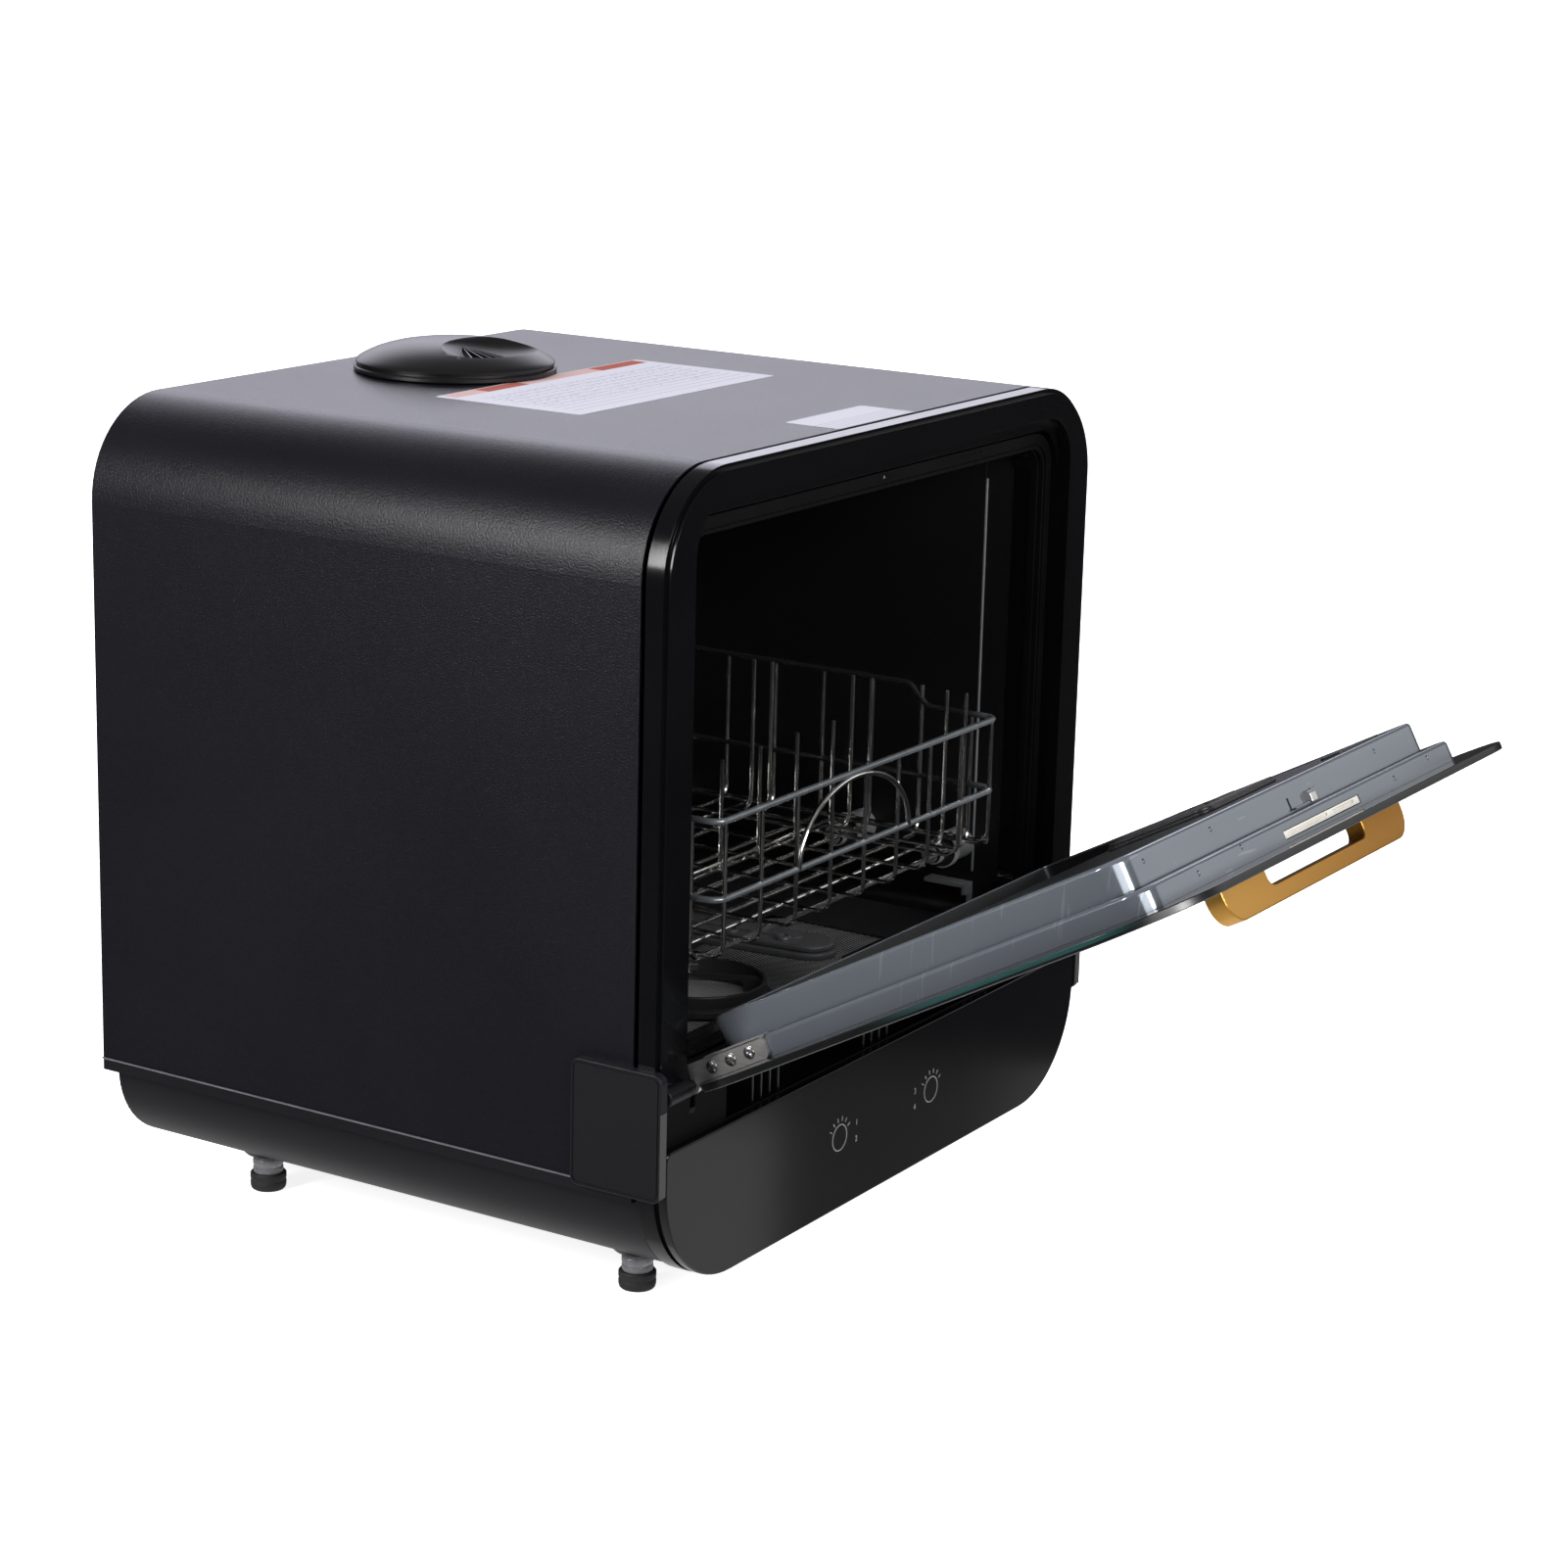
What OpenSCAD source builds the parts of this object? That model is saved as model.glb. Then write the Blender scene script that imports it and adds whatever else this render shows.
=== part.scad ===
// Countertop dishwasher with a glass drop-down door, a roll-out wire basket
// and a water tank that is filled from the top. Millimetres, +Z up.
// X runs across the front, Y from the front to the rear, Z = 0 is the table.

/* [Cabinet] */
// Width over the cabinet's sides
body_w = 420; // [380:1:460]
// Depth from the front frame's face to the rear of the cabinet
body_d = 354; // [300:1:400]
// Height of the cabinet's top above the table
body_top = 428; // [380:1:460]
// Height of the sheet steel cabinet's lower edge
cabinet_z = 78; // [60:1:100]
// Radius of the upper corners
top_r = 52; // [20:1:60]
// Thickness of the sheet steel
sheet_t = 1.2; // [0.8:0.1:2]
// Height of the plastic base's underside
base_z = 22; // [15:1:40]
// Radius of the lower front corners
low_r = 60; // [20:1:60]
// Depth of the front frame's side band
band_d = 14; // [8:1:20]

/* [Door] */
// Angle that the door stands open, from upright
open_angle = 61.4; // [0:0.1:90]
// Height of the hinge line, which lies in the front frame's face
hinge_z = 126.5; // [120:0.5:140]
// Thickness of the glass
glass_t = 4; // [3:0.5:6]
// Gap between the glass and the front frame
glass_gap = 0.6; // [0.4:0.1:2]
// Radius of the glass's corners
glass_r = 50; // [10:1:60]
// Height of the steel door frame over the glass
frame_h = 11; // [8:0.5:15]
// Height of the steel liner over the door frame
liner_h = 16; // [10:0.5:20]
// Thickness of the door's sheet steel
door_sheet = 1.2; // [0.8:0.1:2]
// How far the handle stands out from the glass
handle_out = 20; // [15:1:35]
// Length of the handle along the glass
handle_w = 208; // [150:1:260]
// Radius of the hinge pins
pin_r = 3; // [2:0.5:5]

/* [Tub] */
// Inside width of the tub
tub_w = 352; // [300:1:380]
// Inside depth of the tub, from the front frame to its rear wall
tub_d = 282; // [240:1:320]
// Height of the tub's floor
tub_z = 116; // [100:1:130]
// Height of the tub's ceiling
tub_top = 401; // [380:1:410]
// Reach of the spray arm from its axis
arm_reach = 126; // [100:1:135]
// How far the spray arm is turned from the front
arm_turn = 6; // [0:1:90]
// Radius of the filter cup's collar
cup_r = 42; // [30:1:50]

/* [Basket] */
// Width of the basket over its side rails
basket_w = 280; // [240:1:300]
// Depth of the basket
basket_d = 270; // [240:1:280]
// Height of the basket's floor wires
basket_z = 175; // [170:1:190]
// Radius of the thick rails
rail_r = 2.5; // [2:0.1:3]
// Radius of the thin wires
wire_r = 1.5; // [1.2:0.1:2]
// Distance between the thin wires
wire_step = 34; // [25:1:45]

/* [Top and feet] */
// Radius of the filler cap
cap_r = 55; // [40:1:60]
// Height of the filler cap over the cabinet
cap_h = 17; // [10:1:25]
// Distance of the filler cap's centre behind the front
cap_y = 281; // [200:1:300]
// Radius of a foot
foot_r = 11; // [8:1:15]
// Distance of the feet from the centre line
foot_x = 150; // [120:1:180]

/* [Hidden] */
$fn = 72;
half_w = body_w / 2;
eps = 0.05;
panel_t = 4.6;
panel_top = 100;

// Opening of the front frame: outer well, then the tub's mouth
well_w = 186;
well_z = 121;
well_top = 404;
well_r = 22;
well_d = 19;
mouth_w = tub_w / 2;
mouth_z = 137;
mouth_top = 393;
mouth_r = 16;
tub_y = 29.6;
moulding = 2.5;

// The shut door's layers, from the glass inwards
glass_y = -glass_gap - glass_t;
glass_z = hinge_z + 0.5;
frame_y = -glass_gap;
frame_w = 179;
frame_z = 131.5;
frame_top = 400.5;
ledge_y = frame_y + frame_h;
liner_w = 171;
liner_z = 141;
liner_top = 389;
liner_y = ledge_y + liner_h;
door_r = 13;
lip_w = 7;
panel_y = liner_y - 0.6;
dish_w = 157;
dish_z = 152;
dish_top = 276;
dish_y = 8;

// The handle's plate, which stands square to the glass
handle_z = 384;
handle_t = 10;
handle_bar = 9;
slot_w = 112;
screw_x = 80;

// Hinge arms on the sides of the door frame
arm_x = frame_w + 0.1;
arm_t = 2.5;
arm_len = 50;
arm_eye = 4.6;
hinge_screws_z = [16, 28, 40];

// Pockets in the front frame that the hinge arms turn in
pocket_x = arm_x - 1;
pocket_w = arm_t + 2;
pocket_r = 11.5;

// Door catch in the top edge of the door
latch_x = 7.5;
latch_w = 88;
tongue_x = 20.2;
tongue_w = 6.6;
tongue_t = 6;

// Detergent dispenser on the inner face
soap_x = 30;
soap_z = 322;
soap_w = 84;
soap_h = 64;
soap_t = 1.2;
soap_floor = 12.5;

// Spray arm, filter and rollers
hub_y = 165;
spray_z = 136;
spray_t = 8;
spray_w = 34;
cup_x = -42;
cup_y = 88;
roller_r = 10.5;
groove_r = 7.5;
roller_x = 150;
roller_ys = [54, 118, 246];
runner_r = 2;
runner_drop = 3.2;
roller_z = basket_z - runner_drop - runner_r - 0.1 - groove_r;

basket_y = 14;
rail_top = 247;
rail_mid = 207;
rim_top = 259;
half_b = basket_w / 2;

rear_y = body_d;
spout_out = 20;

// Middle of the whole object in Y, with the door open
door_tip_y = glass_y * cos(open_angle) - (body_top - hinge_z) * sin(open_angle);
mid_y = (door_tip_y + rear_y + spout_out) / 2;

foot_ys = [51, 292];

// ---- shapes that are used again -------------------------------------------

// Moves a piece from the front frame's face to the middle of the whole object
module place() {
    translate([0, -mid_y, 0]) children();
}

// Turns a piece of the shut door to where the door stands open
module on_door() {
    place() translate([0, 0, hinge_z]) rotate([open_angle, 0, 0]) translate([0, 0, -hinge_z]) children();
}

// Front view outline with round upper and lower corners
module outline(w, low, high, r_high, r_low) {
    intersection() {
        translate([-w, low]) square([2 * w, high - low]);
        union() {
            translate([-w, low + r_low]) square([2 * w, high - low - r_high - r_low]);
            if (r_high > 0) {
                translate([-w + r_high, high - r_high - 1]) square([2 * (w - r_high), r_high + 1]);
                for (side = [-1, 1]) translate([side * (w - r_high), high - r_high]) circle(r_high);
            }
            if (r_low > 0) {
                translate([-w + r_low, low]) square([2 * (w - r_low), r_low + 1]);
                for (side = [-1, 1]) translate([side * (w - r_low), low + r_low]) circle(r_low);
            }
        }
    }
}

// Extrudes a front view outline from one depth to another
module along_y(from, to) {
    translate([0, to, 0]) rotate([90, 0, 0]) linear_extrude(to - from) children();
}

// A slab with an outline that is the same at the top and at the bottom
module slab(w, low, high, r, from, to) {
    along_y(from, to) outline(w, low, high, r, r);
}

// Round cornered slab with its centre at x and z
module slab_at(x, z, w, h, r, from, to) {
    translate([x, 0, z]) slab(w / 2, -h / 2, h / 2, r, from, to);
}

// A cylinder along X that starts at x
module rod_x(x, y, z, r, len) {
    translate([x, y, z]) rotate([0, 90, 0]) cylinder(r = r, h = len);
}

// A cylinder along Y that starts at y
module rod_y(x, y, z, r, len) {
    translate([x, y, z]) rotate([-90, 0, 0]) cylinder(r = r, h = len);
}

// A cylinder along Z that starts at z
module rod_z(x, y, z, r, len) {
    translate([x, y, z]) cylinder(r = r, h = len);
}

// A block with a round corner of radius r along each upright edge
module round_block(x, y, z, w, d, h, r) {
    translate([x, y, z]) linear_extrude(h) {
        translate([r, 0]) square([w - 2 * r, d]);
        translate([0, r]) square([w, d - 2 * r]);
        for (i = [r, w - r], j = [r, d - r]) translate([i, j]) circle(r);
    }
}

// ---- cabinet ----------------------------------------------------------------

module cabinet_shell() {
    shell_y = band_d + 1;
    color([0.13, 0.13, 0.15]) place() difference() {
        along_y(shell_y, rear_y) outline(half_w, cabinet_z, body_top, top_r, 0);
        along_y(shell_y - 1, rear_y + 1)
            outline(half_w - sheet_t, cabinet_z - 1, body_top - sheet_t, top_r - sheet_t, 0);
        rod_z(0, cap_y, body_top - 5, cap_r - 10, 10);
    }
}

module rear_panel() {
    vent_rows = 9;
    vent_pitch = 9;
    color([0.11, 0.11, 0.12]) place() difference() {
        along_y(rear_y - 3, rear_y - 1.5)
            outline(half_w - sheet_t - 0.3, cabinet_z + 0.5, body_top - sheet_t - 0.3, top_r - 2, 0);
        for (row = [0:vent_rows - 1], side = [-1, 1])
            translate([side * 90 - 40, rear_y - 5, 250 + row * vent_pitch]) cube([80, 5, 4]);
        rod_y(-150, rear_y - 5, 120, 14, 6);
        rod_y(-100, rear_y - 5, 112, 11, 6);
        rod_y(150, rear_y - 5, 112, 9, 6);
    }
}

module base_pan() {
    lip_h = 7;
    inset = 7;
    wall = 3;
    pan_low = base_z + 3;
    pan_r = 46;
    pan_y = band_d + 1;
    pan_end = rear_y - 4;
    color([0.09, 0.09, 0.1]) place() difference() {
        union() {
            along_y(pan_y, pan_end) outline(half_w - inset, pan_low, cabinet_z - eps, 0, pan_r);
            along_y(pan_y, rear_y) outline(half_w, cabinet_z - lip_h, cabinet_z - eps, 0, 0);
            for (x = [-foot_x, foot_x], y = foot_ys) rod_z(x, y, base_z - 2, 15, 8);
        }
        along_y(pan_y + wall, pan_end - wall)
            outline(half_w - inset - wall, pan_low + wall, cabinet_z + 1, 0, pan_r - wall);
        for (x = [-foot_x, foot_x], y = foot_ys) rod_z(x, y, base_z - 5, 5.05, 20);
    }
}

module bezel_body() {
    // shell with a front plate
    difference() {
        along_y(0, band_d) outline(half_w, base_z, body_top, top_r, low_r);
        along_y(3, band_d + 1) outline(half_w - 3, base_z + 3, body_top - 3, top_r - 3, low_r - 3);
    }
    // wall of the well, seat of the gasket and sleeve to the tub's mouth
    slab(well_w + moulding, well_z - moulding, well_top + moulding, well_r + moulding, 0, well_d);
    slab(well_w + moulding, well_z - moulding, well_top + moulding, well_r + moulding,
        well_d - 0.5, well_d + moulding);
    slab(mouth_w + moulding, mouth_z - moulding, mouth_top + moulding, mouth_r + moulding,
        well_d, tub_y - 0.3);
    // housing of the vent recess under the door
    translate([-152.5, 0, 98.5]) cube([305, 28.5, 21]);
    // blocks that the hinge arms' pockets are cut from
    for (side = [-1, 1])
        translate([side > 0 ? pocket_x - 3 : -well_w - 0.5, 0, hinge_z - pocket_r - 3])
            cube([well_w + 3.5 - pocket_x, pocket_r + 3, pocket_r + 8]);
    // bosses that hold the hinge pins
    for (side = [-1, 1]) {
        rod_x(side > 0 ? well_w : -206, 0, hinge_z, 4.8, 20);
        translate([side > 0 ? well_w : -206, -4.8, 118]) cube([20, 8, hinge_z - 118]);
    }
}

module front_bezel() {
    rib_groups = [-108, 0, 108];
    color([0.07, 0.07, 0.08]) place() difference() {
        bezel_body();
        slab(well_w, well_z, well_top, well_r, -1, well_d);
        slab(mouth_w, mouth_z, mouth_top, mouth_r, well_d - 1, tub_y + 1);
        // vent recess, with groups of upright ribs left standing at its back
        difference() {
            translate([-150, -1, 101]) cube([300, 27, 17.5]);
            for (group = rib_groups, i = [-1.5:1:1.5])
                translate([group + i * 8 - 1, 16, 100]) cube([2, 12, 20]);
        }
        for (side = [-1, 1]) {
            rod_x(side > 0 ? well_w - 5 : -204, 0, hinge_z, pin_r + 0.02, 23);
            rod_x(side > 0 ? pocket_x : -pocket_x - pocket_w, 0, hinge_z, pocket_r, pocket_w);
        }
    }
}

module control_panel() {
    color([0.05, 0.05, 0.06]) place()
        along_y(-panel_t, -eps) outline(half_w - 1, base_z, panel_top, 4, low_r - 1);
}

module panel_marks() {
    ring_x = 47.3;
    ring_z = 61.5;
    ring_r = 7.3;
    color([0.6, 0.6, 0.62]) place() for (side = [-1, 1]) translate([side * ring_x, 0, ring_z]) {
        rotate([90, 0, 0]) translate([0, 0, panel_t]) linear_extrude(0.2) difference() {
            circle(ring_r);
            circle(ring_r - 0.6);
        }
        for (turn = [30:24:150])
            rotate([0, -turn, 0]) translate([ring_r + 1.6, -panel_t - 0.2, -0.3]) cube([2.4, 0.2, 0.6]);
    }
}

module control_board() {
    color([0.1, 0.35, 0.2]) place() {
        translate([-75, 6, 34]) cube([150, 1.6, 50]);
        for (x = [-47.3, 47.3]) rod_y(x, 3.1, 61.5, 7, 2.8);
        translate([-15, 7.7, 45]) cube([30, 5, 25]);
        translate([30, 7.7, 40]) cube([12, 5, 12]);
    }
}

// The piece that hides a hinge, drawn for the right side
module hinge_cover() {
    cover_t = 5.2;
    cover_low = 76;
    cover_high = 141;
    cover_front = -5;
    cover_depth = 53;
    corner = 4;
    translate([half_w + eps, cover_front, cover_low]) difference() {
        rotate([90, 0, 90]) linear_extrude(cover_t) {
            translate([corner, 0]) square([cover_depth - 2 * corner, cover_high - cover_low]);
            translate([0, corner]) square([cover_depth, cover_high - cover_low - 2 * corner]);
            for (i = [corner, cover_depth - corner], j = [corner, cover_high - cover_low - corner])
                translate([i, j]) circle(corner);
        }
        translate([-1, 3, 3]) cube([cover_t - 1.5, cover_depth - 6, cover_high - cover_low - 6]);
    }
    translate([half_w - 0.4, cover_front - 0.2, cabinet_z + 1]) cube([6.4, 3, 47]);
}

module hinge_cover_left() {
    color([0.08, 0.08, 0.09]) place() mirror([1, 0, 0]) hinge_cover();
}

module hinge_cover_right() {
    color([0.08, 0.08, 0.09]) place() hinge_cover();
}

module hinge_pins() {
    color([0.7, 0.7, 0.72]) place() for (side = [-1, 1])
        rod_x(side > 0 ? arm_x - 0.6 : -203.5, 0, hinge_z, pin_r, 203.5 - arm_x + 0.6);
}

// ---- tub and water system -----------------------------------------------------

module tub() {
    wall = 2;
    color([0.1, 0.1, 0.11]) place() difference() {
        along_y(tub_y, tub_y + tub_d + wall)
            outline(tub_w / 2 + wall, tub_z - wall, tub_top + wall, 20, 14);
        along_y(tub_y - 1, tub_y + tub_d) outline(tub_w / 2, tub_z, tub_top, 18, 12);
        rod_z(cup_x, cup_y, tub_z - 5, 37, 10);
        rod_z(0, hub_y, tub_z - 5, 8.1, 10);
        for (y = roller_ys) rod_x(-tub_w / 2 - 5, y, roller_z, 3.1, tub_w + 10);
    }
}

module tub_gasket() {
    color([0.12, 0.12, 0.12]) place()
        difference() {
            slab(184.5, 128, 402, 20, ledge_y + 0.5, well_d - eps);
            slab(175.5, 137, 393, 13, ledge_y - 1, well_d + 1);
            // hollow of the rubber section
            difference() {
                slab(182.5, 130, 400, 18, ledge_y + 3, well_d - 2);
                slab(177.5, 135, 395, 15, ledge_y + 2, well_d - 1);
            }
        }
}

module sump() {
    color([0.2, 0.2, 0.21]) place() difference() {
        union() {
            rod_z(cup_x, cup_y, 58, 44, tub_z - 2 - 58 - eps);
            rod_y(cup_x, cup_y + 40, 76, 12, 22);
            rod_x(cup_x - 60, cup_y, 72, 9, 20);
        }
        rod_z(cup_x, cup_y, 61, 41, 60);
        rod_y(cup_x, cup_y + 36, 76, 9.5, 30);
        rod_x(cup_x - 64, cup_y, 72, 6.5, 30);
    }
}

module filter_plate() {
    color([0.65, 0.66, 0.68]) place() difference() {
        round_block(-112, 36, tub_z + eps, 224, 104, 1.6, 10);
        rod_z(cup_x, cup_y, tub_z - 1, 37, 5);
    }
}

module spray_hub() {
    color([0.2, 0.2, 0.21]) place() {
        difference() {
            union() {
                rod_z(0, hub_y, 96, 8, spray_z + spray_t + 4 - 96);
                rod_z(0, hub_y, tub_z + eps, 20, 8);
                rod_z(0, hub_y, 96, 14, tub_z - 2 - eps - 96);
            }
            rod_z(0, hub_y, 95, 5, 45);
        }
        rod_z(0, hub_y, spray_z + spray_t + 2.4, 13, 5);
    }
}

module roller_mounts() {
    head_x = 141;
    color([0.25, 0.25, 0.26]) place() for (side = [0, 1]) mirror([side, 0, 0])
        for (y = roller_ys) {
            rod_x(head_x, y, roller_z, pin_r, tub_w / 2 - head_x + 2);
            rod_x(head_x - 1.5, y, roller_z, 5, 1.6);
            rod_x(roller_x + 8, y, roller_z, 9, tub_w / 2 - roller_x - 8 - eps);
        }
}

module wash_pump() {
    color([0.3, 0.3, 0.32]) place() {
        rod_y(cup_x, 152, 76, 30, 24);
        rod_y(cup_x, 176, 76, 26, 60);
        rod_y(cup_x, 236, 76, 8, 12);
        translate([cup_x - 22, 178, 34]) cube([44, 50, 16]);
    }
}

module drain_pump() {
    color([0.85, 0.85, 0.82]) place() {
        rod_x(-150, cup_y, 72, 22, 46);
        rod_x(-176, cup_y, 72, 17, 26);
        rod_y(-140, cup_y + 20, 84, 7, 30);
    }
}

module heater() {
    heater_x = 60;
    color([0.75, 0.76, 0.78]) place() {
        difference() {
            rod_y(heater_x, 150, 76, 20, 90);
            rod_y(heater_x, 153, 76, 17.5, 84);
        }
        for (y = [142, 240]) rod_y(heater_x, y, 76, 9, 8);
    }
}

module inlet_valve() {
    color([0.9, 0.9, 0.88]) place() {
        difference() {
            union() {
                rod_y(-150, rear_y - 30, 120, 10, 30 + spout_out);
                rod_y(-150, rear_y - 1, 120, 13.2, spout_out + 1);
            }
            rod_y(-150, rear_y - 1, 120, 9, spout_out + 5);
        }
        translate([-168, rear_y - 34, 100]) cube([36, 26, 14]);
        translate([-154, rear_y - 30, 112]) cube([8, 20, 4]);
    }
}

module water_tank() {
    wall = 2;
    color([0.85, 0.87, 0.88]) place() difference() {
        round_block(-165, tub_y + tub_d + 4, 132, 330, 32, 266, 6);
        round_block(-165 + wall, tub_y + tub_d + 4 + wall, 132 + wall, 330 - 2 * wall, 32 - 2 * wall,
            266 - 2 * wall, 4);
        translate([-30, tub_y + tub_d + 8, 390]) cube([60, 24, 20]);
    }
}

// Neck under the filler cap and the flat duct back to the tank
module fill_duct() {
    neck_r = cap_r - 12;
    duct_low = 404.5;
    neck_z = body_top - sheet_t - eps;
    color([0.14, 0.14, 0.15]) place() difference() {
        union() {
            rod_z(0, cap_y, duct_low, neck_r + 6, neck_z - duct_low);
            translate([-34, cap_y + 20, 404.5]) cube([68, 46, 16]);
            translate([-29, tub_y + tub_d + 9, 399]) cube([58, 22, 8]);
        }
        rod_z(0, cap_y, duct_low + 2, neck_r, 40);
        translate([-32, cap_y + 20, 406.5]) cube([64, 44, 12]);
        translate([-27, tub_y + tub_d + 11, 398]) cube([54, 18, 20]);
    }
}

module drain_spout() {
    color([0.15, 0.15, 0.16]) place() difference() {
        union() {
            rod_y(-100, rear_y - 40, 112, 9.5, 40 + spout_out - 6);
            rod_y(-100, rear_y - 1.4, 112, 14, 3);
            for (i = [0:2]) rod_y(-100, rear_y + 4 + i * 3.4, 112, 10.3, 1.6);
        }
        rod_y(-100, rear_y - 41, 112, 7.5, 60);
    }
}

module cord_gland() {
    color([0.1, 0.1, 0.1]) place() difference() {
        union() {
            rod_y(150, rear_y - 14, 112, 8.9, 16);
            rod_y(150, rear_y - 1.4, 112, 13, 8);
        }
        rod_y(150, rear_y - 20, 112, 4, 40);
    }
}

module foot_stems() {
    color([0.7, 0.7, 0.7]) place() for (x = [-foot_x, foot_x], y = foot_ys) {
        rod_z(x, y, 9.5, 5, 18);
        rod_z(x, y, 9.5, 9, 6);
    }
}

module foot_pads() {
    color([0.1, 0.1, 0.1]) place() for (x = [-foot_x, foot_x], y = foot_ys)
        translate([x, y, 0]) rotate_extrude()
            polygon([
                [0, 0], [foot_r - 1, 0], [foot_r, 1.5], [foot_r, 9],
                [foot_r - 1.5, 9.5 - eps], [0, 9.5 - eps]
            ]);
}

module top_label_large() {
    color([0.9, 0.9, 0.88]) place() round_block(-84, 139, body_top + 0.02, 184, 92, 0.15, 2);
}

module top_label_small() {
    color([0.9, 0.9, 0.88]) place() round_block(-35.5, 15.5, body_top + 0.02, 75, 32, 0.15, 2);
}

// ---- door -----------------------------------------------------------------------

module door_glass() {
    color([0.05, 0.07, 0.07]) on_door() difference() {
        slab(half_w - 1, glass_z, body_top, glass_r, glass_y, frame_y - eps);
        for (x = [-screw_x, screw_x]) rod_y(x, glass_y - 1, handle_z + handle_t / 2, 2.6, glass_t + 2);
    }
}

module door_frame() {
    color([0.42, 0.46, 0.5]) on_door() difference() {
        slab(frame_w, frame_z, frame_top, door_r, frame_y, ledge_y);
        slab(frame_w - door_sheet, frame_z + door_sheet, frame_top - door_sheet, door_r - door_sheet,
            frame_y - 1, ledge_y - door_sheet);
        slab(liner_w + eps, liner_z - eps, liner_top + eps, door_r, ledge_y - 5, ledge_y + 1);
        for (side = [-1, 1], dz = hinge_screws_z)
            rod_x(side * (frame_w - 1) - 3, 5, hinge_z + dz, 1.7, 6);
        translate([latch_x - latch_w / 2, 1, frame_top - 3]) cube([latch_w, 4.6, 4]);
    }
}

// Steel ring with a lip turned inwards at its top
module door_liner() {
    slit_x = 1;
    color([0.42, 0.46, 0.5]) on_door() difference() {
        slab(liner_w, liner_z, liner_top, door_r, ledge_y - door_sheet, liner_y);
        slab(liner_w - door_sheet, liner_z + door_sheet, liner_top - door_sheet,
            door_r - door_sheet, ledge_y - 5, liner_y - door_sheet);
        slab(liner_w - lip_w, liner_z + lip_w, liner_top - lip_w, door_r - lip_w,
            ledge_y, liner_y + 1);
        translate([slit_x, ledge_y + 1, liner_top - 3]) cube([2, 7.5, 5]);
        translate([tongue_x - 0.1, ledge_y + 0.8, liner_top - 3])
            cube([tongue_w + 0.2, tongue_t + 0.2, 5]);
    }
}

// Moulded inner face of the door, with a dish that leaves room for the basket
module door_inner_panel() {
    panel_w = liner_w - lip_w - 0.3;
    panel_t_in = 2;
    dish_wall = 2;
    low = liner_z + lip_w + 0.3;
    high = liner_top - lip_w - 0.3;
    color([0.06, 0.06, 0.07]) on_door() {
        difference() {
            union() {
                slab(panel_w, low, high, door_r - lip_w - 0.3, panel_y - panel_t_in, panel_y);
                slab(panel_w + 4, low - 4, high + 4, door_r - 3, panel_y - panel_t_in - 1.5,
                    panel_y - 0.8);
            }
            slab(dish_w, dish_z, dish_top, 5, ledge_y, liner_y + 1);
            slab_at(soap_x, soap_z, soap_w - 7.6, soap_h - 7.6, 5.2, ledge_y, liner_y + 1);
        }
        slab_at(120, 372, 48, 14, 3, panel_y - 0.5, liner_y + 1.4);
        difference() {
            slab(dish_w + dish_wall, dish_z - dish_wall, dish_top + dish_wall, 5 + dish_wall,
                dish_y - dish_wall, panel_y - 1.5);
            slab(dish_w, dish_z, dish_top, 5, dish_y, liner_y + 1);
        }
    }
}

module door_insulation() {
    color([0.85, 0.82, 0.7]) on_door() difference() {
        slab(160, 284, 376, 8, 12, 21);
        slab_at(soap_x, soap_z, soap_w, soap_h, 5, 11, 22);
    }
}

// Flat loop that stands out from the glass, with a slot for the fingers
module door_handle() {
    reach = glass_y - handle_out;
    foot = handle_w / 2;
    color([0.69, 0.48, 0.2]) on_door() difference() {
        translate([0, 0, handle_z]) linear_extrude(handle_t) difference() {
            intersection() {
                hull() {
                    translate([-foot, glass_y - 1 - eps]) square([2 * foot, 1]);
                    for (side = [-1, 1]) translate([side * (foot - 18), reach + 14]) circle(14, $fn = 32);
                }
                translate([-foot, reach]) square([2 * foot, handle_out - eps]);
            }
            hull() {
                translate([-slot_w / 2, glass_y - 1]) square([slot_w, 2]);
                for (side = [-1, 1])
                    translate([side * (slot_w / 2 - 6), reach + handle_bar + 5]) circle(5, $fn = 32);
            }
        }
        for (x = [-screw_x, screw_x]) rod_y(x, glass_y - 9, handle_z + handle_t / 2, 2.05, 12);
    }
}

module handle_screws() {
    color([0.7, 0.7, 0.72]) on_door() for (x = [-screw_x, screw_x]) {
        rod_y(x, glass_y - 8.5, handle_z + handle_t / 2, 2, glass_t + 8.5);
        rod_y(x, frame_y, handle_z + handle_t / 2, 4, 2.4);
    }
}

// Hinge arm with an eye round the pin, drawn for the right side
module hinge_arm() {
    difference() {
        union() {
            rod_x(arm_x, 0, hinge_z, arm_eye, arm_t);
            translate([arm_x, -0.5, hinge_z]) cube([arm_t, 10.6, arm_len]);
        }
        rod_x(arm_x - 1, 0, hinge_z, pin_r + 0.05, arm_t + 2);
        for (dz = hinge_screws_z) rod_x(arm_x - 1, 5, hinge_z + dz, 1.8, arm_t + 2);
    }
}

module hinge_arm_left() {
    color([0.7, 0.7, 0.7]) on_door() mirror([1, 0, 0]) hinge_arm();
}

module hinge_arm_right() {
    color([0.7, 0.7, 0.7]) on_door() hinge_arm();
}

module hinge_screws() {
    head_x = arm_x + arm_t + eps;
    color([0.75, 0.75, 0.76]) on_door() for (side = [0, 1]) mirror([side, 0, 0])
        for (dz = hinge_screws_z) {
            rod_x(head_x, 5, hinge_z + dz, 3.4, 1.7);
            rod_x(head_x - 7, 5, hinge_z + dz, 1.6, 7.1);
        }
}

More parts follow.
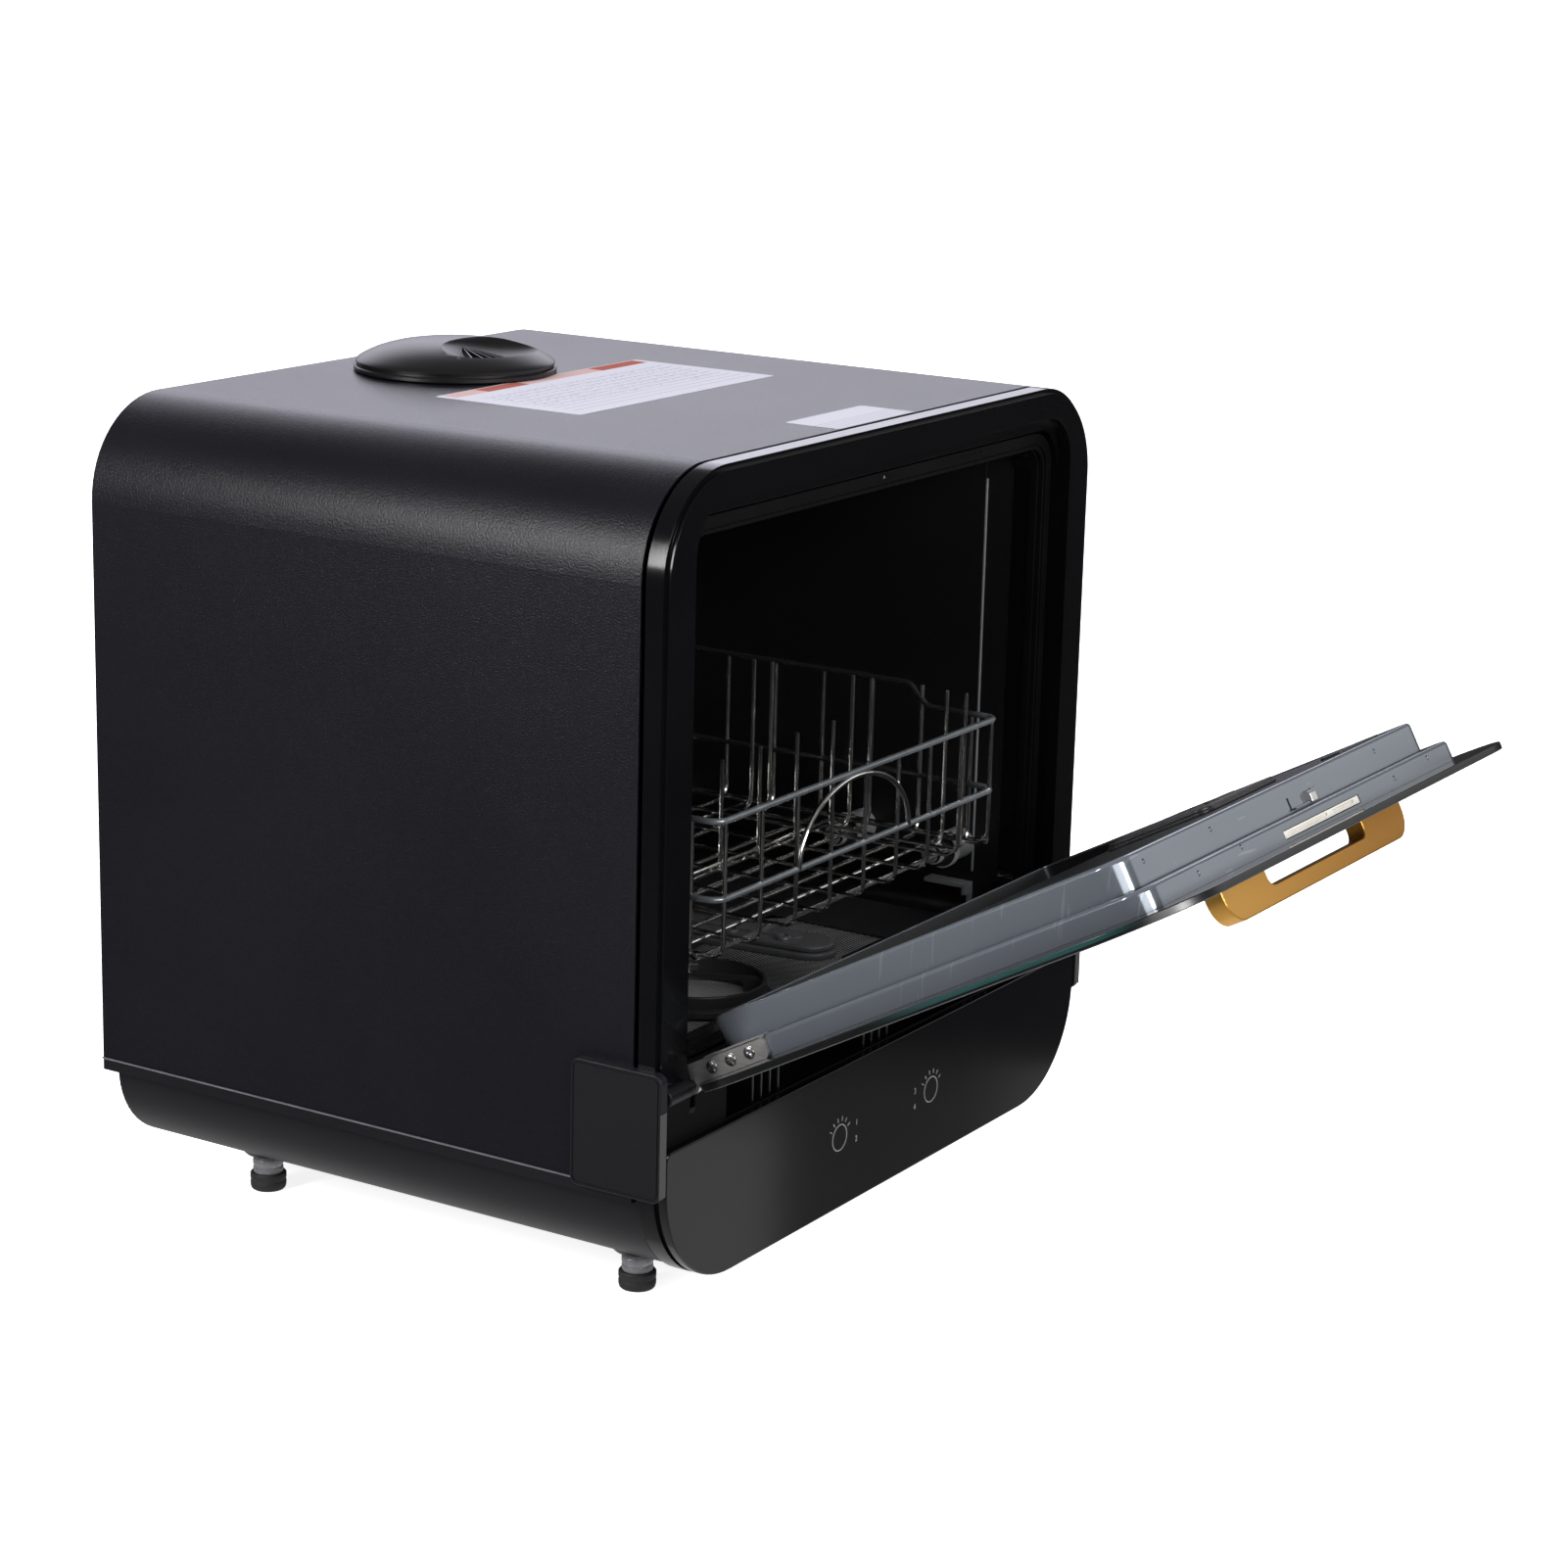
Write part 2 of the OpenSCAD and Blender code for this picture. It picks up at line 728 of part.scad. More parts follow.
module latch_housing() {
    color([0.86, 0.82, 0.7]) on_door()
        translate([latch_x - latch_w / 2 + 0.4, 1.4, frame_top - 9.5]) cube([latch_w - 0.8, 3.8, 9.1]);
}

// Sprung tongue that catches behind the seal's lip
module latch_tongue() {
    color([0.8, 0.8, 0.8]) on_door()
        translate([tongue_x, ledge_y + 0.9, liner_top - 9]) cube([tongue_w, tongue_t, 12.2]);
}

// Cup sunk into the inner face, with a thin rim round it
module detergent_cup() {
    cup_wall = 2;
    color([0.08, 0.08, 0.09]) on_door() difference() {
        union() {
            slab_at(soap_x, soap_z, soap_w, soap_h, 8, panel_y + eps, liner_y + soap_t);
            slab_at(soap_x, soap_z, soap_w - 8, soap_h - 8, 5, soap_floor, panel_y + 1);
        }
        slab_at(soap_x, soap_z, soap_w - 8 - 2 * cup_wall, soap_h - 8 - 2 * cup_wall, 4,
            soap_floor + cup_wall, liner_y + soap_t + 1);
    }
}

module detergent_lid() {
    color([0.12, 0.12, 0.13]) on_door() {
        slab_at(soap_x, soap_z, soap_w - 2, soap_h - 2, 7, liner_y + soap_t + 0.2, liner_y + soap_t + 1.7);
        slab_at(soap_x, soap_z + 18, 24, 8, 3, liner_y + soap_t + 1.5, liner_y + soap_t + 2.7);
        rod_x(soap_x - 30, liner_y + soap_t + 0.95, soap_z - 30.5, 0.9, 60);
    }
}

// ---- moving pieces in the tub -----------------------------------------------------

module filter_cup() {
    color([0.13, 0.13, 0.14]) place() translate([cup_x, cup_y, 0]) {
        difference() {
            union() {
                rod_z(0, 0, 66, 34, 54);
                rod_z(0, 0, tub_z + 2.2, cup_r, 5);
                rod_z(0, 0, tub_z + 7, 33, 7);
            }
            rod_z(0, 0, 68, 31, 60);
        }
        translate([-4, -32, tub_z + 9]) cube([8, 64, 6]);
    }
}

module spray_arm() {
    nozzle_r = 2.4;
    color([0.24, 0.24, 0.25]) place() translate([0, hub_y, 0]) rotate([0, 0, arm_turn]) difference() {
        union() {
            translate([0, 0, spray_z]) linear_extrude(spray_t) {
                translate([-spray_w / 2, -arm_reach + spray_w / 2])
                    square([spray_w, 2 * arm_reach - spray_w]);
                for (side = [-1, 1]) translate([0, side * (arm_reach - spray_w / 2)]) circle(spray_w / 2);
            }
            rod_z(0, 0, spray_z - 2, 22, spray_t + 4);
            for (side = [-1, 1], r = [40, 70, 100])
                rod_z(side * 7, side * r, spray_z + spray_t - 1, nozzle_r + 1.6, 3);
        }
        rod_z(0, 0, spray_z - 5, 8.06, 20);
        for (side = [-1, 1], r = [40, 70, 100])
            rod_z(side * 7, side * r, spray_z + 2, nozzle_r, 10);
    }
}

module fill_cap() {
    neck_r = cap_r - 13;
    scoop_r = 60;
    scoop_deep = 7;
    color([0.07, 0.07, 0.08]) place() translate([0, cap_y, body_top + 0.3]) difference() {
        union() {
            rotate_extrude() polygon([
                [0, 0], [cap_r, 0], [cap_r, 4], [cap_r - 1.5, 6], [cap_r - 5, 6.5], [cap_r - 6, 8],
                [cap_r - 9, cap_h - 5], [cap_r - 16, cap_h - 1.8], [cap_r - 28, cap_h - 0.4], [0, cap_h]
            ]);
            rod_z(0, 0, -12, neck_r, 12.5);
        }
        rod_z(0, 0, -13, neck_r - 3, 17);
        // scoop for the fingers, in front of the middle
        translate([-3, -18, cap_h + scoop_r - scoop_deep]) sphere(scoop_r);
    }
}

// ---- basket -------------------------------------------------------------------------

// A straight wire between two points
module wire(a, b, r) {
    v = b - a;
    len = norm(v);
    translate(a) rotate([0, acos(v[2] / len), atan2(v[1], v[0])]) cylinder(r = r, h = len, $fn = 24);
}

// Quarter turns that join the front or rear rails to the side rails
module corner_bends(y, way, high) {
    bend_r = 6;
    for (side = [-1, 1], z = [rail_mid, high])
        translate([side * (half_b - bend_r), y + way * bend_r, z]) mirror([side < 0 ? 1 : 0, 0, 0])
            mirror([0, way > 0 ? 1 : 0, 0]) rotate_extrude(angle = 90)
                translate([bend_r, 0]) circle(rail_r, $fn = 24);
}

// The wire grid of one side, drawn along X: two thick rails over thin uprights
module side_grid(len, high, count) {
    step = len / (count - 1);
    for (z = [rail_mid, high]) wire([0, 0, z], [len, 0, z], rail_r);
    for (i = [0:count - 1])
        wire([i * step, 0, basket_z + 2.9], [i * step, 0, high], wire_r);
}

module basket_front() {
    span = basket_w - 12;
    bow_half = 58;
    bow_h = 35;
    bow_x = -8;
    bow_r = (bow_half * bow_half + bow_h * bow_h) / (2 * bow_h);
    bow_turn = asin(bow_half / bow_r);
    color([0.75, 0.76, 0.78]) place() {
        translate([-span / 2, basket_y, 0]) side_grid(span, rail_top, 9);
        // bow that bridges the two rails
        translate([bow_x, basket_y - 0.6, rail_mid + bow_h - bow_r]) rotate([90, bow_turn - 90, 0])
            rotate_extrude(angle = 2 * bow_turn) translate([bow_r, 0]) circle(wire_r + 0.25, $fn = 24);
        corner_bends(basket_y, 1, rail_top);
    }
}

module basket_rear() {
    span = basket_w - 12;
    color([0.75, 0.76, 0.78]) place() {
        translate([-span / 2, basket_y + basket_d, 0]) side_grid(span, rim_top, 9);
        corner_bends(basket_y + basket_d, -1, rim_top);
    }
}

// One side wall of the basket, drawn for the right side
module basket_side() {
    start = basket_y + 6;
    finish = basket_y + basket_d - 6;
    step_a = 58;
    step_b = 68;
    ups = [for (y = [30:wire_step - 2:finish]) y];
    wire([half_b, start, rail_mid], [half_b, finish, rail_mid], rail_r);
    wire([half_b, start, rail_top], [half_b, step_a, rail_top], rail_r);
    wire([half_b, step_a, rail_top], [half_b, step_b, rim_top], rail_r);
    wire([half_b, step_b, rim_top], [half_b, finish, rim_top], rail_r);
    for (bend = [[step_a, rail_top], [step_b, rim_top]])
        translate([half_b, bend[0], bend[1]]) sphere(rail_r + 0.2, $fn = 24);
    for (y = ups) wire([half_b, y, basket_z + 2.9], [half_b, y, y < step_b ? rail_top : rim_top], wire_r);
}

module basket_left() {
    color([0.75, 0.76, 0.78]) place() mirror([1, 0, 0]) basket_side();
}

module basket_right() {
    color([0.75, 0.76, 0.78]) place() basket_side();
}

module basket_base() {
    last_y = basket_y + basket_d - 4;
    first_y = basket_y + 16;
    color([0.75, 0.76, 0.78]) place() {
        for (y = [first_y:wire_step + 2:last_y])
            wire([-roller_x, y, basket_z], [roller_x, y, basket_z], wire_r);
        for (x = [-4 * wire_step:wire_step:4 * wire_step])
            wire([x, basket_y, basket_z + 1.3], [x, last_y + 4, basket_z + 1.3], wire_r);
        for (x = [-roller_x, roller_x])
            wire([x, first_y - 6, basket_z - runner_drop], [x, last_y, basket_z - runner_drop], runner_r);
    }
}

// A thin upright with a round tip
module tine(x, y, high) {
    low = basket_z + 2.9;
    rod_z(x, y, low, wire_r, high - low);
    translate([x, y, high]) sphere(wire_r);
}

// A row of tines stands on a foot wire of its own
module tines_short() {
    row_y = 105;
    color([0.75, 0.76, 0.78]) place() {
        for (x = [-111:38:117]) tine(x, row_y, 236);
        wire([-115, row_y, basket_z + 4.4], [120, row_y, basket_z + 4.4], wire_r);
    }
}

module tines_right() {
    row_x = 115;
    color([0.75, 0.76, 0.78]) place() {
        for (y = [20, 80, 145], d = [0, 12]) tine(row_x, y + d, 264);
        wire([row_x, 18, basket_z + 4.4], [row_x, 98, basket_z + 4.4], wire_r);
        wire([row_x, 112, basket_z + 4.4], [row_x, 162, basket_z + 4.4], wire_r);
    }
}

module tines_rear() {
    row_y = 172;
    color([0.75, 0.76, 0.78]) place() {
        for (x = [-78, -18, 42], d = [0, 24]) tine(x + d, row_y, 262);
        wire([-82, row_y, basket_z + 4.4], [70, row_y, basket_z + 4.4], wire_r);
    }
}

// ---- rollers --------------------------------------------------------------------------

// Spool that a runner wire of the basket rolls on
module roller(side, y) {
    flange = 2.5;
    width = 14;
    color([0.35, 0.35, 0.36]) place() translate([side * roller_x - width / 2, y, roller_z])
        rotate([0, 90, 0]) difference() {
            union() {
                cylinder(r = roller_r, h = flange);
                cylinder(r = groove_r, h = width);
                translate([0, 0, width - flange]) cylinder(r = roller_r, h = flange);
            }
            translate([0, 0, -1]) cylinder(r = pin_r + 0.06, h = width + 2);
        }
}

module roller_left_front() { roller(-1, roller_ys[0]); }
module roller_left_middle() { roller(-1, roller_ys[1]); }
module roller_left_rear() { roller(-1, roller_ys[2]); }
module roller_right_front() { roller(1, roller_ys[0]); }
module roller_right_middle() { roller(1, roller_ys[1]); }
module roller_right_rear() { roller(1, roller_ys[2]); }

cabinet_shell();
rear_panel();
base_pan();
front_bezel();
control_panel();
panel_marks();
control_board();
hinge_cover_left();
hinge_cover_right();
hinge_pins();
tub();
tub_gasket();
sump();
filter_plate();
spray_hub();
roller_mounts();
wash_pump();
drain_pump();
heater();
inlet_valve();
water_tank();
fill_duct();
drain_spout();
cord_gland();
foot_stems();
foot_pads();
top_label_large();
top_label_small();
door_glass();
door_frame();
door_liner();
door_inner_panel();
door_insulation();
door_handle();
handle_screws();
hinge_arm_left();
hinge_arm_right();
hinge_screws();
latch_housing();
latch_tongue();
detergent_cup();
detergent_lid();
filter_cup();
spray_arm();
fill_cap();
basket_front();
basket_rear();
basket_left();
basket_right();
basket_base();
tines_short();
tines_right();
tines_rear();
roller_left_front();
roller_left_middle();
roller_left_rear();
roller_right_front();
roller_right_middle();
roller_right_rear();
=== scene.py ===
import math

import bpy
from mathutils import Matrix, Quaternion, Vector


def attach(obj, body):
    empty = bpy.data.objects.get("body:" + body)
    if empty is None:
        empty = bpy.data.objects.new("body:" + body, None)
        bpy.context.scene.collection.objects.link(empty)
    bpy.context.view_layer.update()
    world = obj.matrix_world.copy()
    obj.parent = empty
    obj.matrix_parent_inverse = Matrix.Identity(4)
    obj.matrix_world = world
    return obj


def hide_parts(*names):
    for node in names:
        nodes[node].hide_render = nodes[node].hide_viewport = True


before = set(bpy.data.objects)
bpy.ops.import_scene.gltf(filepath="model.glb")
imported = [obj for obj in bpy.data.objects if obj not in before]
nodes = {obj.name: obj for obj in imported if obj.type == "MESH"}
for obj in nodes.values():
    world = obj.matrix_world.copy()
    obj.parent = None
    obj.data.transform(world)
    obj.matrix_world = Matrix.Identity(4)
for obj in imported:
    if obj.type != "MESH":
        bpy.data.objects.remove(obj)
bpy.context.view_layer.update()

MM = 0.001

# ---- Studio ----
# A pale table in a room that is dim round the machine, so that black gloss
# stays black. Soft lamps stand behind the right and left rear corners for
# the sheen of the top and its round edges, and in front for the door's folds.


def operator(operation, swapped=False):
    """A method that adds one Math node, with its two terms swapped for a reflected operator."""
    def method(self, *other):
        return self.wiring.maths(operation, *((*other, self) if swapped else (self, *other)))
    return method


class Value:
    """A number worked out inside a finish, on which ordinary arithmetic can be done."""

    def __init__(self, wiring, socket):
        self.wiring, self.socket = wiring, socket

    __add__, __radd__ = operator("ADD"), operator("ADD", True)
    __sub__, __rsub__ = operator("SUBTRACT"), operator("SUBTRACT", True)
    __mul__, __rmul__ = operator("MULTIPLY"), operator("MULTIPLY", True)
    __truediv__, __mod__ = operator("DIVIDE"), operator("FLOORED_MODULO")
    __gt__, __lt__, __abs__ = operator("GREATER_THAN"), operator("LESS_THAN"), operator("ABSOLUTE")


class Wiring:
    """The nodes of one finish, or of the room."""

    def __init__(self, tree):
        self.tree = tree

    def node(self, kind, settings=None, values=None, out=0):
        made = self.tree.nodes.new("ShaderNode" + kind)
        for name, setting in (settings or {}).items():
            if name == "stops":
                ramp = made.color_ramp
                while len(ramp.elements) < len(setting):
                    ramp.elements.new(0.5)
                for element, (place, grey) in zip(ramp.elements, setting):
                    element.position, element.color = place, (grey, grey, grey, 1)
            else:
                setattr(made, name, setting)
        for name, value in (values or {}).items():
            if isinstance(value, Value):
                self.tree.links.new(value.socket, made.inputs[name])
            else:
                made.inputs[name].default_value = value
        return Value(self, made.outputs[out])

    def maths(self, operation, *terms):
        return self.node("Math", {"operation": operation}, dict(enumerate(terms)))

    def feed(self, value, shader, socket):
        self.tree.links.new(value.socket, shader.inputs[socket])


bpy.context.scene.view_settings.view_transform = "Standard"
bpy.ops.object.select_all(action="DESELECT")

swing, climb, tip = math.radians(-58.237), math.radians(14.463), math.radians(1.509)
back = Vector((math.sin(swing) * math.cos(climb), -math.cos(swing) * math.cos(climb), math.sin(climb)))
bpy.ops.object.camera_add(location=(-1.6106, -0.98654, 0.7188))
camera = bpy.context.object
camera.rotation_mode = "QUATERNION"
camera.rotation_quaternion = back.to_track_quat("Z", "Y") @ Quaternion((0, 0, 1), tip)
camera.data.sensor_width = 36
camera.data.lens = 85.25
camera.data.clip_end = 200
bpy.context.scene.camera = camera


def soft_lamp(place, aim, size, power, tint=(1, 1, 1)):
    bpy.ops.object.light_add(type="AREA", location=place)
    lamp = bpy.context.object
    lamp.rotation_euler = (Vector(place) - Vector(aim)).to_track_quat("Z", "Y").to_euler()
    lamp.data.shape = "RECTANGLE"
    lamp.data.size, lamp.data.size_y = size
    lamp.data.energy = power
    lamp.data.color = tint


soft_lamp((1.50, 1.42, 1.18), (0, 0.1, 0.40), (2.4, 1.05), 18.3, (0.885, 0.875, 1.0))
soft_lamp((-1.27, 0.54, 0.78), (-0.2, -0.05, 0.40), (0.28, 0.50), 14)
soft_lamp((-1.25, -1.95, 1.25), (-0.1, -0.25, 0.30), (1.2, 0.8), 18)
soft_lamp((-0.35, -1.85, 0.95), (0.0, 0.1, 0.22), (0.4, 0.35), 20)
soft_lamp((2.05, -1.62, 1.15), (0, -0.35, 0.40), (1.5, 1.0), 5)

# light from the whole ceiling, which the shiny surfaces don't mirror
bpy.ops.object.light_add(type="SUN", location=(0, 0, 3), rotation=(math.radians(-14), math.radians(9), 0))
ceiling = bpy.context.object
ceiling.data.energy = 3.3
ceiling.data.angle = math.radians(110)
ceiling.visible_glossy = False

bpy.ops.mesh.primitive_plane_add(size=80)
table = bpy.context.object
table.name = "table"
table.visible_glossy = False
table_paint = bpy.data.materials.new("pale_table")
table_paint.use_nodes = True
table_shader = table_paint.node_tree.nodes["Principled BSDF"]
for socket, value in {"Base Color": (0.92, 0.92, 0.92, 1), "Roughness": 0.8, "Specular IOR Level": 0.1,
                      "Emission Color": (1, 1, 1, 1), "Emission Strength": 0.85}.items():
    table_shader.inputs[socket].default_value = value
table.data.materials.append(table_paint)

world = bpy.data.worlds.new("soft_room")
bpy.context.scene.world = world
world.use_nodes = True
room = Wiring(world.node_tree)
room_way = room.node("TexCoord", out="Generated")
room_height = room.node("SeparateXYZ", None, {0: room_way}, out="Z") * 0.5 + 0.5
room_glow = room.node("ValToRGB", {
    "stops": [(0.0, 0.5), (0.24, 0.32), (0.29, 0.15), (0.338, 0.13), (0.3425, 0.03), (0.5, 0.04), (0.6, 0.08),
              (0.8, 0.12), (1.0, 0.2)],
}, {0: room_height})
# lit floor in front, whose edge the gloss panel mirrors near its left end, and more of it far to the side
room_side = room.node("SeparateXYZ", None, {0: room_way}, out="X")
room_slant = room.node("SeparateXYZ", None, {0: room_way}, out="Y") / room_side
soft_edge = {"interpolation_type": "SMOOTHSTEP"}
lit_floor = room.node("MapRange", soft_edge, {"Value": room_slant, "From Min": -0.608, "From Max": -0.628})
lit_floor = lit_floor * (room_side > 0) * room.node("MapRange", soft_edge,
                                                    {"Value": room_height, "From Min": 0.338, "From Max": 0.328})
far_floor = room.node("MapRange", {}, {"Value": room_slant, "From Min": -0.545, "From Max": -0.505})
far_floor = far_floor * (room_side > 0) * (room_height < 0.3402)
room.feed(room_glow + lit_floor * 0.40 + far_floor * 0.30, world.node_tree.nodes["Background"], "Color")

# ---- Powder coated sheet steel: cabinet and rear panel ----
# One sheet folded over the top and both sides, coated in a fine grained matt
# black. The grain is about half a millimetre and the coat varies a little.


class Finish(Wiring):
    """One surface finish. Its roughness and metal hold where no pattern is fed into them."""

    def __init__(self, name, rough=0.5, metal=0.0, specular=0.5):
        self.material = bpy.data.materials.new(name)
        self.material.use_nodes = True
        super().__init__(self.material.node_tree)
        self.shader = self.tree.nodes["Principled BSDF"]
        for socket, value in (("Roughness", rough), ("Metallic", metal), ("Specular IOR Level", specular)):
            self.shader.inputs[socket].default_value = value
        self.where = self.node("TexCoord", out="Object")

    def axis(self, letter):
        """How far a point lies along an axis, in millimetres."""
        return self.node("SeparateXYZ", None, {0: self.where}, out=letter) * 1000

    def grain(self, scale, detail, stretch=None):
        where = self.where
        if stretch:
            where = self.node("VectorMath", {"operation": "MULTIPLY"}, {0: where, 1: stretch})
        return self.node("TexNoise", None, {"Vector": where, "Scale": scale, "Detail": detail})

    def mix(self, amount, first, second):
        fill = [c if isinstance(c, Value) else (*c, 1) for c in (first, second)]
        return self.node("Mix", {"data_type": "RGBA"}, {0: amount, 6: fill[0], 7: fill[1]}, out=2)

    def step(self, value, low, high):
        """Rises from 0 to 1 as the value goes from low to high."""
        return self.node("MapRange", {"interpolation_type": "SMOOTHSTEP"},
                         {"Value": value, "From Min": low, "From Max": high})

    def paint(self, colour):
        self.feed(colour, self.shader, "Base Color")

    def rough(self, value):
        self.feed(value, self.shader, "Roughness")

    def metal(self, value):
        self.feed(value, self.shader, "Metallic")

    def bump(self, height, depth, strength):
        relief = self.node("Bump", None, {"Strength": strength, "Distance": depth, "Height": height})
        self.feed(relief, self.shader, "Normal")

    def put_on(self, *pieces):
        for piece in pieces:
            piece.data.materials.clear()
            piece.data.materials.append(self.material)


def grained(name, dark, light, rough, cloud, grit=None, relief=None, metal=0.0, specular=0.5):
    """A finish that goes from dark to light with a slow cloud, and rougher and higher with a fine grit.

    Rough holds the least roughness, then what the grit adds to it and what the cloud adds.
    """
    finish = Finish(name, rough[0], metal, specular)
    slow = finish.grain(*cloud)
    fine = finish.grain(*grit) if grit else slow
    finish.paint(finish.mix(slow, dark, light))
    value, rises = rough[0], rough[1:]
    for grain, rise in zip((fine, slow), rises):
        value = value + grain * rise
    if rises:
        finish.rough(value)
    if relief:
        finish.bump(fine, *relief)
    return finish


coat = grained("powder_coat", (0.0025, 0.0025, 0.0042), (0.0050, 0.0050, 0.0078), rough=(0.25, 0.09, 0.06),
               cloud=(6, 3), grit=(1100, 3), relief=(0.0003, 0.8), specular=0.27)
coat.put_on(nodes["cabinet_shell"], nodes["rear_panel"])

# ---- Screws of the rear panel ----
# Six zinc plated steel screws with pan heads and cross recesses hold the rear
# panel to the cabinet's flanges.


def shift(x=0, y=0, z=0):
    """A move in millimetres."""
    return Matrix.Translation(Vector((x, y, z)) * MM)


def spun(degrees, axis):
    """A turn about X, Y or Z."""
    return Matrix.Rotation(math.radians(degrees), 4, axis)


FRONT = -53.5435
HINGE_Z = 126.5
CABINET = shift(0, FRONT)
DOOR = shift(0, FRONT, HINGE_Z) @ spun(61.4, "X") @ shift(0, 0, -HINGE_Z)


def edit_edges():
    """Opens the active piece for work on its edges."""
    bpy.context.tool_settings.mesh_select_mode = (False, True, False)
    bpy.ops.object.mode_set(mode="EDIT")


def close_up(merge=False):
    """Turns all faces outwards, after its doubles are merged if asked, and leaves edit mode."""
    bpy.ops.mesh.select_all(action="SELECT")
    if merge:
        bpy.ops.mesh.remove_doubles(threshold=0.000001)
    bpy.ops.mesh.normals_make_consistent(inside=False)
    bpy.ops.object.mode_set(mode="OBJECT")


def block(name, x, y, z):
    """A block between two limits along each axis, in millimetres."""
    bpy.ops.object.select_all(action="DESELECT")
    middle = [(low + high) / 2 * MM for low, high in (x, y, z)]
    bpy.ops.mesh.primitive_cube_add(size=1, location=middle)
    piece = bpy.context.object
    piece.name = name
    piece.scale = [(high - low) * MM for low, high in (x, y, z)]
    bpy.ops.object.transform_apply()
    return piece


def turned(name, profile, place=(0, 0, 0), turn=(0, 0, 0), steps=32, shut=True):
    """Lathe work about Z from pairs of radius and height, then turned and put in place. Millimetres."""
    bpy.ops.object.select_all(action="DESELECT")
    (radius, height), rest = profile[0], profile[1:]
    bpy.ops.mesh.primitive_circle_add(vertices=steps, radius=radius * MM, location=(0, 0, height * MM),
                                      fill_type="NGON" if shut else "NOTHING")
    piece = bpy.context.object
    piece.name = name
    bpy.ops.object.transform_apply()
    edit_edges()
    bpy.ops.mesh.select_all(action="SELECT")
    for wider, higher in rest:
        bpy.ops.mesh.extrude_edges_move(TRANSFORM_OT_translate={"value": (0, 0, (higher - height) * MM)})
        bpy.ops.transform.resize(value=(wider / radius, wider / radius, 1), center_override=(0, 0, higher * MM))
        radius, height = wider, higher
    if shut:
        bpy.ops.mesh.edge_face_add()
    close_up(merge=True)
    piece.rotation_euler = [math.radians(angle) for angle in turn]
    piece.location = Vector(place) * MM
    bpy.ops.object.transform_apply()
    return piece


def pick(*pieces):
    """Selects these pieces and nothing else, the first as the active one."""
    bpy.ops.object.select_all(action="DESELECT")
    for piece in pieces:
        piece.select_set(True)
    bpy.context.view_layer.objects.active = pieces[0]


def apply(piece, kind, **settings):
    """Adds a modifier with these settings and applies it."""
    pick(piece)
    work = piece.modifiers.new(kind.lower(), kind)
    for name, setting in settings.items():
        setattr(work, name, setting)
    bpy.ops.object.modifier_apply(modifier=work.name)


def carve(piece, tool, way="DIFFERENCE"):
    """Cuts the tool out of the piece and removes the tool."""
    apply(piece, "BOOLEAN", operation=way, object=tool, solver="EXACT")
    bpy.data.objects.remove(tool)


def gather(name, pieces):
    """Makes one piece of several."""
    pick(*pieces)
    if len(pieces) > 1:
        bpy.ops.object.join()
    pieces[0].name = name
    return pieces[0]


def fit(piece, finish, body, slot, *stands_for, door=False, angle=35):
    """Puts a finished piece where the frame is, smooths it and hands it to its body."""
    piece.data.transform(DOOR if door else CABINET)
    pick(piece)
    bpy.ops.object.shade_smooth_by_angle(angle=math.radians(angle))
    apply(piece, "WEIGHTED_NORMAL", weight=50, keep_sharp=True)
    finish.put_on(piece)
    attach(piece, body)
    if stands_for:
        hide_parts(*stands_for)


def cross_screw(name, radius, height, place, turn, spin):
    """A domed screw head with a cross recess, standing on a face."""
    head = turned(name, [(radius, 0), (radius, height * 0.35), (radius * 0.93, height * 0.62),
                         (radius * 0.7, height * 0.88), (radius * 0.35, height), (0.05, height)], steps=24)
    for across in (0, 90):
        slot = block("slot", (-radius * 0.62, radius * 0.62), (-radius * 0.15, radius * 0.15),
                     (height * 0.2, height + 1))
        slot.data.transform(spun(across + spin, "Z"))
        carve(head, slot)
    head.data.transform(shift(*place) @ spun(*turn))
    return head


rear_face = 352.55
rear_places = [(-198, 100), (198, 100), (-198, 240), (198, 240), (-150, 412), (150, 412)]
rear_screws = [cross_screw("rear_screw", 3.6, 1.9, (x, rear_face, z), (-90, "X"), spin=11 * i)
               for i, (x, z) in enumerate(rear_places)]
zinc = grained("zinc_screw", (0.34, 0.34, 0.35), (0.50, 0.50, 0.51), rough=(0.28, 0.2), cloud=(900, 2), metal=1.0)
fit(gather("rear_screws", rear_screws), zinc, "cabinet", "bare_steel")

# ---- Base pan ----
# Moulded black pan under the cabinet, with deep round lower edges and a lip
# that the cabinet's sheet stands on. Four bosses take the feet.


def round_off(piece, radius, test=lambda *at: True, along=None, steps=6):
    """Rounds the edges whose two ends pass the test, and that run along one axis if one is given."""
    shape = piece.data
    for group in (shape.vertices, shape.edges, shape.polygons):
        group.foreach_set("select", [False] * len(group))
    for edge in shape.edges:
        start, end = (shape.vertices[i].co for i in edge.vertices)
        run = (end - start).normalized()
        edge.select = test(*(start / MM)) and test(*(end / MM)) and (along is None or abs(run[along]) > 0.95)
    pick(piece)
    edit_edges()
    bpy.ops.mesh.bevel(offset=radius * MM, segments=steps, affect="EDGES", clamp_overlap=False)
    bpy.ops.object.mode_set(mode="OBJECT")
    return piece


def soften(piece, width, steps=2, angle=35):
    """Breaks every sharp edge of a piece, in millimetres."""
    apply(piece, "BEVEL", width=width * MM, segments=steps, limit_method="ANGLE",
          angle_limit=math.radians(angle))
    return piece


def add(piece, tool):
    """Joins the tool to the piece."""
    carve(piece, tool, "UNION")


